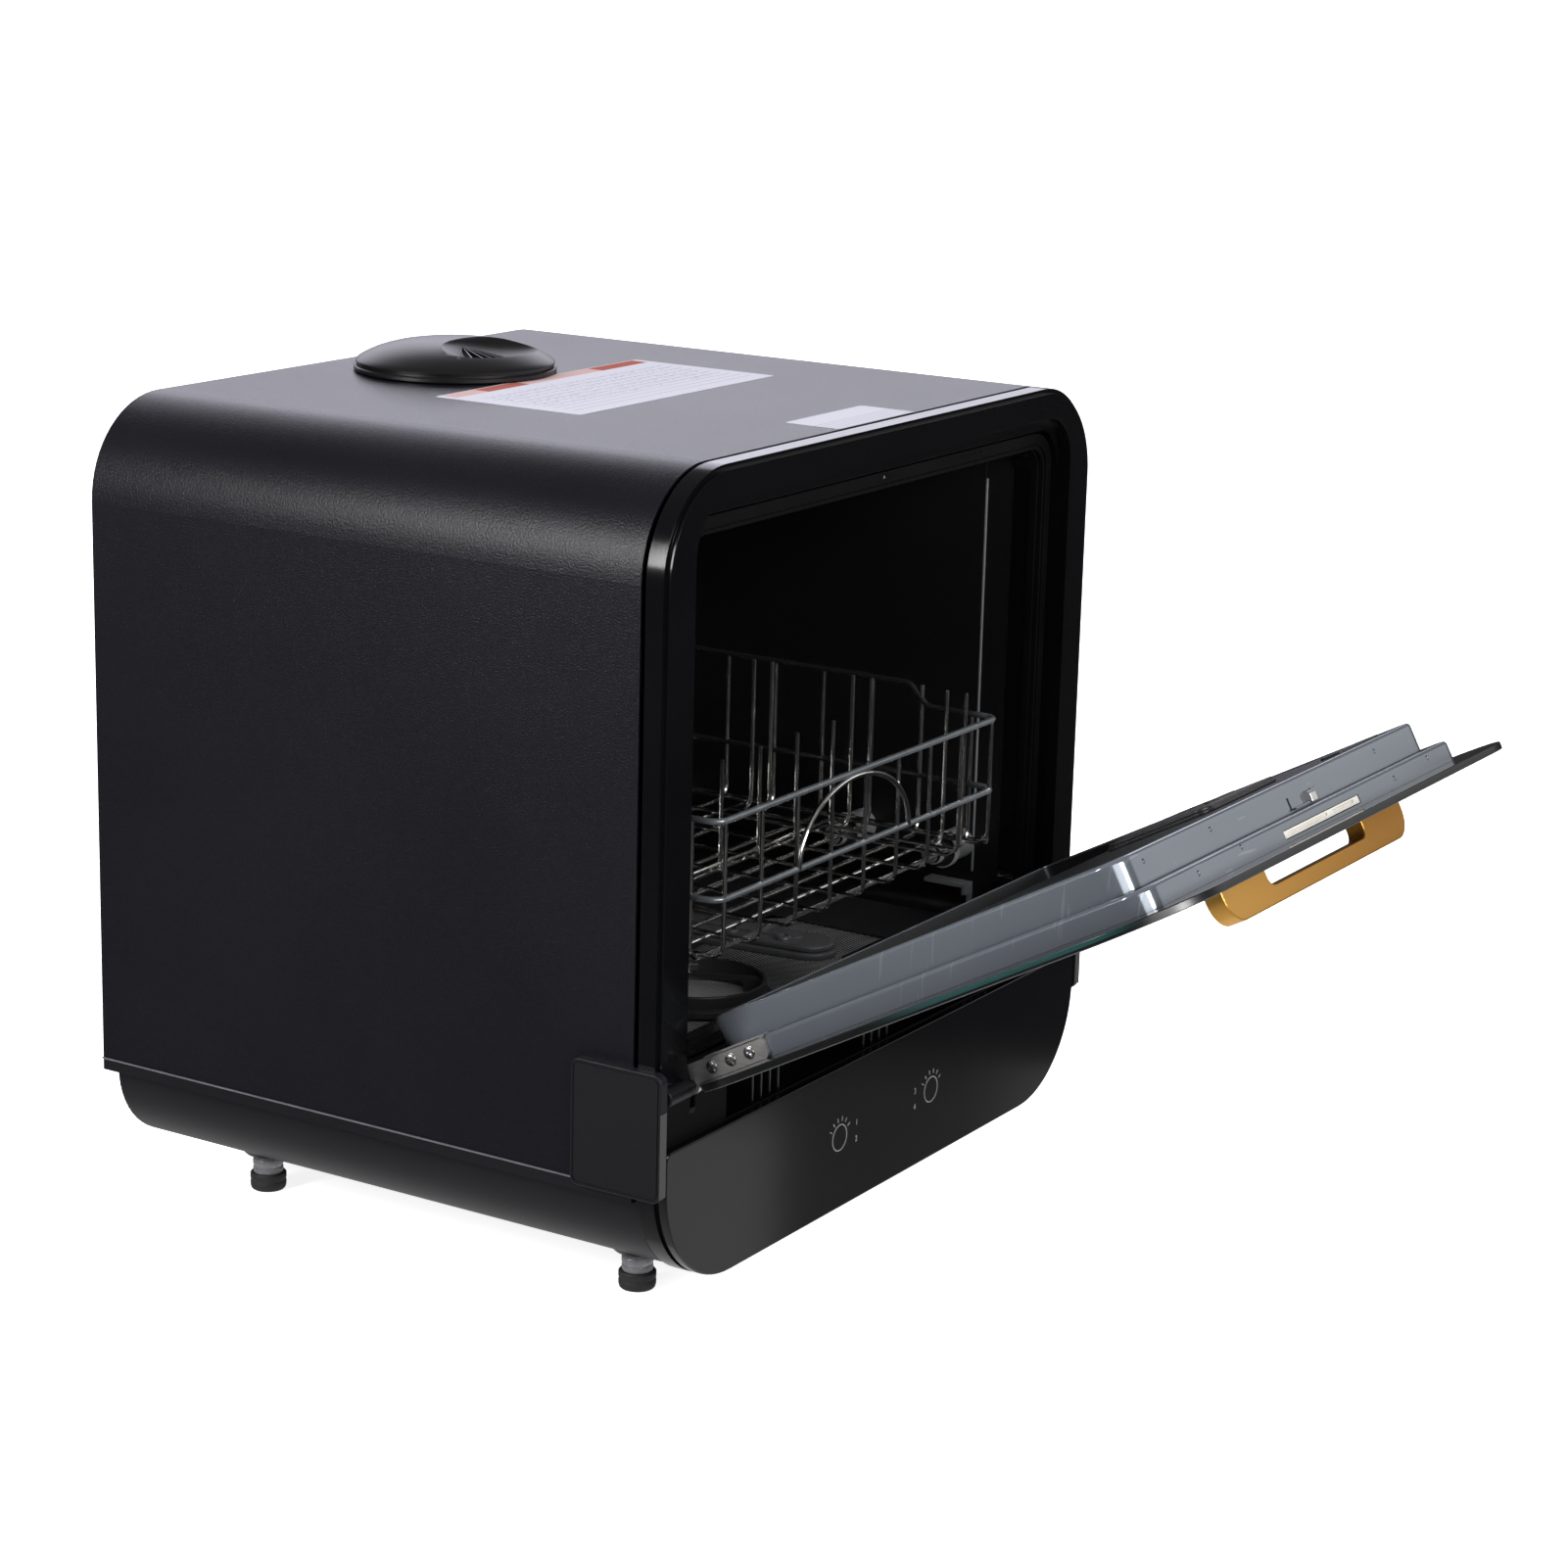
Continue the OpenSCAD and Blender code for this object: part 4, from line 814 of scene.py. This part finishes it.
def bent_wire(name, points, radius, bend=8, sides=10, tip=False):
    """A round wire through these points, with its corners bent. Millimetres."""
    bpy.ops.object.select_all(action="DESELECT")
    path = [Vector(point) * MM for point in points]
    radius, bend = radius * MM, bend * MM
    ahead = (path[1] - path[0]).normalized()
    bpy.ops.mesh.primitive_circle_add(vertices=sides, radius=radius, location=path[0], fill_type="NGON",
                                      rotation=ahead.to_track_quat("Z", "Y").to_euler())
    wire = bpy.context.object
    wire.name = name
    bpy.ops.object.transform_apply()
    edit_edges()
    bpy.ops.mesh.select_all(action="SELECT")
    here = path[0]
    for corner, after in zip(path[1:], path[2:]):
        onward = (after - corner).normalized()
        turn = ahead.angle(onward)
        if turn < 0.02:
            continue
        cut = bend * math.tan(turn / 2)
        stop = corner - ahead * cut
        bpy.ops.mesh.extrude_edges_move(TRANSFORM_OT_translate={"value": stop - here})
        axis = ahead.cross(onward).normalized()
        bpy.ops.mesh.spin(steps=max(2, round(turn / 0.26)), angle=-turn, axis=axis,
                          center=stop + axis.cross(ahead) * bend)
        here, ahead = corner + onward * cut, onward
    bpy.ops.mesh.extrude_edges_move(TRANSFORM_OT_translate={"value": path[-1] - here})
    if tip:
        for rise, share in ((0.5, 0.85), (0.35, 0.45)):
            here = path[-1] + ahead * radius * rise
            bpy.ops.mesh.extrude_edges_move(TRANSFORM_OT_translate={"value": ahead * radius * rise})
            bpy.ops.transform.resize(value=(share, share, share), center_override=here)
            path[-1] = here
    bpy.ops.mesh.edge_face_add()
    close_up()
    return wire


bright_wire = grained("bright_wire", (0.70, 0.69, 0.67), (0.94, 0.93, 0.91), rough=(0.12, 0.12),
                      cloud=(160, 2), metal=1.0)
dull_rail = Finish("dull_rail", metal=0.6)
rail_marks = dull_rail.grain(120, 2)
# behind their front run the rails are painted nearly black: painted shade, for the dim tub they lie in
rail_painted_shade = dull_rail.step(dull_rail.axis("Y"), -34, -20)
rail_steel = dull_rail.mix(rail_marks, (0.13, 0.14, 0.15), (0.23, 0.245, 0.26))
dull_rail.paint(dull_rail.mix(rail_painted_shade, rail_steel, (0.035, 0.036, 0.037)))
dull_rail.rough(0.20 + rail_marks * 0.12)

thin, floor_z, foot_z, rail_mid, rail_top, rim_top = 1.1, 175, 179.4, 207, 247, 259
half, front, rear = 140, 14, 284
runs = [bent_wire("run", [(x, front, rail_top), (x, front, floor_z + 1.4), (x, rear, floor_z + 1.4),
                          (x, rear, rim_top)], thin) for x in [-134 + 33.5 * i for i in range(9)]]
fit(gather("basket_run_wires", runs), bright_wire, "basket", "basket_wire", "basket_base")
hoops = []
for y in [30 + 32 * i for i in range(8)]:
    top = rail_top if y < 62 else rim_top
    hoops.append(bent_wire("hoop", [(-half, y, top), (-half, y, floor_z - 1.4), (half, y, floor_z - 1.4),
                                    (half, y, top)], thin + 0.2))
for y in (46, 110, 174, 238):
    hoops.append(bent_wire("tie", [(-runner_x, y, floor_z - 1.2), (runner_x, y, floor_z - 1.2)], thin))
fit(gather("basket_hoop_wires", hoops), bright_wire, "basket", "basket_wire", "basket_left", "basket_right")
runners = [bent_wire("runner", [(x, 24, 176), (x, 24, 171.8), (x, 280, 171.8), (x, 280, 176)], 2, 2.2)
           for x in (-runner_x, runner_x)]
fit(gather("basket_runners", runners), bright_wire, "basket", "basket_wire")
rails = [
    bent_wire("rail", [(0, rear, rail_mid), (-half, rear, rail_mid), (-half, front, rail_mid),
                       (half, front, rail_mid), (half, rear, rail_mid), (0, rear, rail_mid)], 1.7, sides=14),
    bent_wire("rim", [(0, rear, rim_top), (-half, rear, rim_top), (-half, 70, rim_top), (-half, 58, rail_top),
                      (-half, front, rail_top), (half, front, rail_top), (half, 58, rail_top), (half, 70, rim_top),
                      (half, rear, rim_top), (0, rear, rim_top)], 1.7, 7, 14),
]
fit(gather("basket_rails", rails), dull_rail, "basket", "basket_wire", "basket_rear")
bow_half, bow_high, bow_mid = 55, 38, -11
arc = [(bow_mid - bow_half * math.cos(math.radians(7.5 * i)), 13.2,
        rail_mid + bow_high * math.sin(math.radians(7.5 * i))) for i in range(25)]
bow = bent_wire("basket_bow", arc, 1.5, 12, 12)
fit(bow, bright_wire, "basket", "basket_wire", "basket_front", angle=60)


def tine(x, y, high, kink=0):
    """An upright with a round tip, whose foot is bent flat to the left."""
    low = floor_z + 4
    points = [(x - 12 - kink, y, low), (x - kink, y, low)]
    if kink:
        points += [(x - kink, y, low + 22), (x, y, low + 44)]
    return bent_wire("tine", points + [(x, y, high)], thin, 7, 8, tip=True)


short = [bent_wire("tine", [(x, 105, floor_z + 1), (x, 105, 236)], thin, 7, 8, tip=True)
         for x in [-111 + 38 * i for i in range(7)]]
short.append(bent_wire("foot", [(-115, 105, foot_z), (120, 105, foot_z)], thin))
fit(gather("basket_tines_short", short), bright_wire, "basket", "basket_wire", "tines_short")
right = [tine(115, y + gap, 264) for y in (20, 80, 145) for gap in (0, 12)]
right += [bent_wire("foot", [(103, low, foot_z), (103, high, foot_z)], thin) for low, high in ((18, 98), (112, 162))]
fit(gather("basket_tines_right", right), bright_wire, "basket", "basket_wire", "tines_right")
rear_tines = [tine(x + gap, 172, 262, 8 if x == -78 and gap else 0) for x in (-78, -18, 42) for gap in (0, 24)]
rear_tines.append(bent_wire("foot", [(-98, 172, 177.8), (70, 172, 177.8)], thin))
fit(gather("basket_tines_rear", rear_tines), bright_wire, "basket", "basket_wire", "tines_rear")

# ---- Door glass ----
# Toughened glass enamelled black on the inside, with two holes for the
# handle's screws. Its ground edge shows the clear sheet's own sea green, but only
# along a stretch of the side edges where light passes through, and black elsewhere as
# painted shade; a pale line along the outer edge is a painted highlight.


def along_door(finish, axis):
    """How far a point lies along one axis of the shut door, in millimetres."""
    way = DOOR.to_3x3() @ Vector(axis) * 1000
    reach = finish.node("VectorMath", {"operation": "DOT_PRODUCT"}, {0: finish.where, 1: way}, out="Value")
    return reach - DOOR.translation.dot(way)


glass = Finish("enamelled_glass")
door_facing = glass.node("VectorMath", {"operation": "DOT_PRODUCT"},
                         {0: glass.node("TexCoord", out="Normal"), 1: DOOR.to_3x3() @ Vector((0, 1, 0))}, out="Value")
edge_shine = glass.grain(90, 2)
glass_edge = abs(door_facing) < 0.75
edge_run = along_door(glass, (0, 0, 1))
edge_depth = along_door(glass, (0, 1, 0))
# sea green on a stretch of the side edges only: the glass's own colour where light passes through the edge, left
# black elsewhere as painted shade
green = glass.step(edge_run, 250, 300) * (1 - glass.step(edge_run, 385, 410)) * glass_edge * (edge_depth > -3.0)
# a pale line along the outer edge: painted highlight
painted_edge_highlight = glass_edge * (edge_depth < -4.1)
glass.paint(glass.mix(green, glass.mix(painted_edge_highlight, (0.002, 0.002, 0.0024), (0.035, 0.038, 0.040)),
                      glass.mix(edge_shine, (0.003, 0.022, 0.021), (0.005, 0.040, 0.037))))
glass.rough(0.045 + glass_edge * 0.25 + glass.grain(5, 2) * 0.02)
pane = slab("door_glass_pane", (-209, 209), (-4.6, -0.65), (127, 428), 50, 20)
soften(pane, 0.5, 3, 50)
for x in (-80, 80):
    carve(pane, turned("hole", [(2.6, -6), (2.6, 1)], (x, 0, 389), (-90, 0, 0), steps=24))
fit(pane, glass, "door", "door_glass", "door_glass", door=True)

# ---- Door's steel steps ----
# Two pans of bluish grey satin steel, folded from 1 mm sheet and spot welded,
# the smaller on the larger. The free end has a window for the latch and a
# slit; the sheet shows faint scuffs, and is painted darker near the hinges as painted shade.
satin = Finish("satin_steel", metal=0.5)
cloudy = satin.grain(9, 2)
scuffs = satin.grain(150, 1, stretch=(0.2, 3, 0.15)) > 0.70
steel_run = along_door(satin, (0, 0, 1))
steel = satin.mix(cloudy, (0.130, 0.145, 0.168), (0.170, 0.188, 0.215))
steel = satin.mix(scuffs * 0.28, steel, (0.32, 0.34, 0.37))
# the steel darkens towards the hinges: painted shade
satin.paint(satin.mix(satin.step(steel_run, 130, 152), (0.02, 0.022, 0.028), steel))
satin.rough(0.14 + cloudy * 0.06)
satin.bump(satin.grain(12, 1, stretch=(0.3, 1.5, 1.5)), 0.0001, 0.08)


def folded(name, half, low, high, radius, y, lip):
    """A shallow pan of folded sheet that opens towards the glass. Millimetres."""
    sheet, fold = 1.0, 2.2
    pan = slab(name, (-half, half), y, (low, high), radius, 12)
    round_off(pan, fold, lambda x, at, z: at > y[1] - 0.05, steps=5)
    inner = slab("inner", (sheet - half, half - sheet), (y[0] - 2, y[1] - sheet), (low + sheet, high - sheet),
                 radius - sheet, 12)
    round_off(inner, fold - sheet, lambda x, at, z: at > y[1] - sheet - 0.05, steps=5)
    carve(pan, inner)
    carve(pan, slab("open", (lip - half, half - lip), (y[0], y[1] + 3), (low + lip, high - lip), radius - lip, 12))
    return pan


step = folded("door_frame_pan", 179, 131.5, 400.5, 13, (-0.6, 10.4), lip=8.5)
carve(step, round_off(block("window", (-36.5, 51.5), (1, 5.6), (396, 404)), 0.8, along=2, steps=3))
screw_heights = (142.5, 154.5, 166.5)
for side in (-1, 1):
    for z in screw_heights:
        carve(step, turned("hole", [(1.7, -4), (1.7, 4)], (side * 178, 5, z), (0, 90, 0), steps=20))
for x, y in ((-81, 7.6), (-128, 5.5), (96, 4.5), (140, 6.4)):
    carve(step, turned("weld", [(0.9, -0.4), (1.5, 0.0), (1.5, 3)], (x, y, 400.3), steps=16))
soften(step, 0.2, 2, 50)
fit(step, satin, "door", "door_steel", "door_frame", door=True)

ridge = folded("door_liner_pan", 171, 141, 389, 13, (10.45, 26.4), lip=7)
carve(ridge, block("slit", (1, 3), (11.6, 18), (384, 392)))
carve(ridge, block("port", (20.1, 26.9), (11.1, 17.5), (384, 392)))
for x in (-81, -150, 110):
    carve(ridge, turned("weld", [(0.8, -0.4), (1.3, 0), (1.3, 3)], (x, 20.5, 388.8), steps=16))
soften(ridge, 0.2, 2, 50)
fit(ridge, satin, "door", "door_steel", "door_liner", door=True)
tabs = [soften(block("tab", (3, 19.6), (11.3, 12.4), (388.9, 391.2)), 0.3),
        soften(block("tab", (27.4, 33), (11.2, 17.8), (388.9, 390)), 0.3)]
fit(gather("latch_guides", tabs), satin, "door", "door_steel", door=True)

# ---- Door's inner face ----
# Moulded dark grey panel clipped inside the steel lip. A rounded dish in it
# clears the basket, and a raised pad carries no marks.
panel_skin = grained("inner_moulding", (0.010, 0.0105, 0.012), (0.019, 0.0195, 0.021), rough=(0.22, 0.16),
                     cloud=(11, 3), grit=(30, 3), specular=0.45)
panel_skin.bump(panel_skin.grain(600, 2), 0.00006, 0.4)
face = slab("door_inner_face", (-163.7, 163.7), (21.5, 25.8), (148.3, 381.7), 6, 8)
add(face, slab("dish_back", (-159, 159), (6, 24.5), (150, 278), 8.5, 8))
dish = slab("dish", (-157, 157), (8, 30), (152, 276), 6, 8)
round_off(dish, 5.9, lambda x, y, z: y < 8.1)
carve(face, dish)
carve(face, slab("cup_hole", (-8.2, 68.2), (15, 30), (293.8, 350.2), 5.2, 8))
for z in (166, 180, 194, 208, 222, 236, 250, 262):
    rib = round_off(block("rib", (-148, 148), (6.5, 9.2), (z - 1.2, z + 1.2)), 1.0, lambda x, y, z: y > 9, steps=3)
    add(face, rib)
add(face, slab("pad", (96, 144), (25, 27.2), (365, 379), 3, 6))
soften(face, 0.7, 3, 40)
fit(face, panel_skin, "door", "panel_liner", "door_inner_panel", door=True)
felt = grained("door_felt", (0.22, 0.21, 0.18), (0.42, 0.40, 0.34), rough=(0.95,),
               cloud=(260, 5), grit=(420, 4), relief=(0.0006, 0.7))
felt.put_on(nodes["door_insulation"])

# ---- Detergent cup ----
# A dark cup sunk in the inner face, with a sprung lid on a hinge rod and a
# small catch for the finger.
soap_black = grained("soap_moulding", (0.012, 0.012, 0.013), (0.023, 0.023, 0.0245), rough=(0.22, 0.14),
                     cloud=(20, 2), grit=(400, 2), specular=0.45)
soap_black.bump(soap_black.grain(600, 2), 0.00005, 0.4)
cup = slab("detergent_cup_body", (-12, 72), (25.85, 27.6), (290, 354), 8, 8)
add(cup, slab("well", (-8, 68), (12.5, 26.5), (294, 350), 5, 8))
carve(cup, slab("hollow", (-6, 66), (14.5, 30), (296, 348), 4, 8))
soften(cup, 0.5, 3, 40)
fit(cup, soap_black, "door", "soap_plastic", "detergent_cup", door=True)
lid = slab("detergent_lid_flap", (-11, 71), (27.8, 29.3), (291, 353), 7, 8)
round_off(lid, 0.7, lambda x, y, z: y > 29.2, steps=3)
carve(lid, slab("field", (-5, 65), (28.9, 31), (298, 331), 4, 6))
catch = slab("catch", (18, 42), (29, 30.3), (336, 344), 3, 6)
round_off(catch, 0.6, lambda x, y, z: y > 30.2, steps=3)
add(lid, catch)
for i in range(4):
    carve(lid, block("grip", (21 + i * 5.2, 22.4 + i * 5.2), (29.9, 31), (338, 342)))
barrel = turned("barrel", [(0.7, 0), (0.9, 0.3), (0.9, 59.7), (0.7, 60)], (0, 28.55, 291.5), (0, 90, 0), steps=20)
add(lid, barrel)
fit(lid, soap_black, "soap_lid", "soap_plastic", "detergent_lid", door=True)

# ---- Latch ----
# White moulded insert seen through the window of the door's end, and the
# sprung steel tongue that catches behind the seal.
white = grained("latch_moulding", (0.60, 0.58, 0.52), (0.78, 0.76, 0.70), rough=(0.34, 0.12),
                cloud=(30, 3), grit=(300, 2))
insert = block("latch_insert", (-36.1, 51.1), (1.4, 5.2), (391, 400.1))
carve(insert, block("lane", (-30, 14), (2.6, 4.1), (398.6, 402)))
carve(insert, block("lane", (20, 45), (2.6, 4.1), (398.6, 402)))
soften(insert, 0.35, 3)
fit(insert, white, "door", "latch_plastic", "latch_housing", door=True)
bright_sheet = grained("stainless_sheet", (0.55, 0.53, 0.52), (0.86, 0.84, 0.825), rough=(0.26, 0.14),
                       cloud=(60, 4, (1, 1, 14)), relief=(0.00004, 0.3), metal=0.9)
tongue = block("latch_bolt", (20.2, 26.8), (11.3, 17.3), (380, 392.2))
round_off(tongue, 2.2, lambda x, y, z: z > 392 and y > 17, steps=5)
soften(tongue, 0.4, 3)
fit(tongue, bright_sheet, "latch", "bare_steel", "latch_tongue", door=True)

# ---- Hinge arms ----
# Stainless plates with an eye round the pin and a flange turned over the
# steel step, each held to it by three cross head screws.
for side_name, side in (("left", -1), ("right", 1)):
    arm = block(f"hinge_plate_{side_name}", (179.1, 181.6), (-0.5, 10.1), (HINGE_Z, 176.5))
    round_off(arm, 2.4, lambda x, y, z: z > 176, along=0, steps=5)
    add(arm, turned("eye", [(4.6, 179.1), (4.6, 181.6)], (0, 0, HINGE_Z), (0, 90, 0), steps=40))
    carve(arm, turned("bore", [(3.1, 170), (3.1, 190)], (0, 0, HINGE_Z), (0, 90, 0)))
    flange = block("flange", (173, 181.6), (9.6, 10.85), (140, 176.5))
    add(arm, round_off(flange, 2, lambda x, y, z: x < 174, along=1, steps=4))
    carve(arm, block("room", (170, 179.09), (8, 10.42), (138, 178)))
    soften(arm, 0.4, 3, 40)
    if side < 0:
        arm.data.transform(MIRROR)
        arm.data.flip_normals()
    fit(arm, bright_sheet, "door", "bare_steel", f"hinge_arm_{side_name}", door=True)
heads = [cross_screw("head", 3.1, 1.2, (side * 181.62, 5, z), (side * 90, "Y"), spin=20 + 17 * i)
         for side in (-1, 1) for i, z in enumerate(screw_heights)]
plated = grained("plated_screw", (0.30, 0.30, 0.30), (0.46, 0.46, 0.46), rough=(0.26, 0.14),
                 cloud=(500, 2), grit=(700, 2), metal=1.0)
fit(gather("hinge_screw_heads", heads), plated, "door", "bare_steel", "hinge_screws", door=True)
plated.put_on(nodes["handle_screws"])
matt.put_on(nodes["hinge_pins"])

# ---- Handle ----
# Flat aluminium loop in brushed gold, slotted for the fingers and screwed on
# through the glass. Its long edges are lightly broken.
gold = Finish("brushed_gold", metal=0.9, specular=0.2)
lines = gold.grain(240, 3, stretch=(0.05, 1, 1))
warm = gold.grain(12, 2)
# the gold is lighter at the left end and darker to the right: painted light and shade
gold_light_and_shade = gold.mix(gold.step(gold.axis("X"), -110, 90), (0.74, 0.40, 0.095), (0.48, 0.225, 0.04))
gold.paint(gold.mix(lines * 0.7 + warm * 0.3, gold.mix(0.35, gold_light_and_shade, (0.40, 0.18, 0.02)), gold_light_and_shade))
gold.rough(0.26 + lines * 0.18)
gold.bump(lines, 0.00004, 0.4)
grip = block("handle_loop", (-104, 104), (-24.6, -4.65), (384, 394))
round_off(grip, 14, lambda x, y, z: y < -24, along=2, steps=10)
slot = block("finger_slot", (-56, 56), (-15.6, 0), (380, 398))
round_off(slot, 5, lambda x, y, z: y < -15, along=2, steps=8)
carve(grip, slot)
soften(grip, 0.9, 4, 50)
fit(grip, gold, "door", "handle_gold", "door_handle", door=True)

# ---- Works inside the cabinet ----
# Pumps, heater, valve, tank and board sit behind the tub; they are plain
# mouldings and pressed parts in their own materials.
tank_film = grained("tank_moulding", (0.10, 0.105, 0.11), (0.16, 0.165, 0.17), rough=(0.35,), cloud=(14, 3))
tank_film.put_on(nodes["water_tank"])
sheath = grained("heater_sheath", (0.22, 0.19, 0.17), (0.40, 0.37, 0.34), rough=(0.32, 0.2),
                 cloud=(80, 3), grit=(200, 2), metal=0.9)
sheath.put_on(nodes["heater"])
valve_white = grained("valve_moulding", (0.52, 0.52, 0.50), (0.66, 0.66, 0.64), rough=(0.4,), cloud=(60, 2))
valve_white.put_on(nodes["inlet_valve"])
board = Finish("circuit_board", rough=0.4)
board.paint(board.mix(board.grain(120, 1) > 0.52, (0.012, 0.09, 0.03), (0.03, 0.16, 0.06)))
board.put_on(nodes["control_board"])
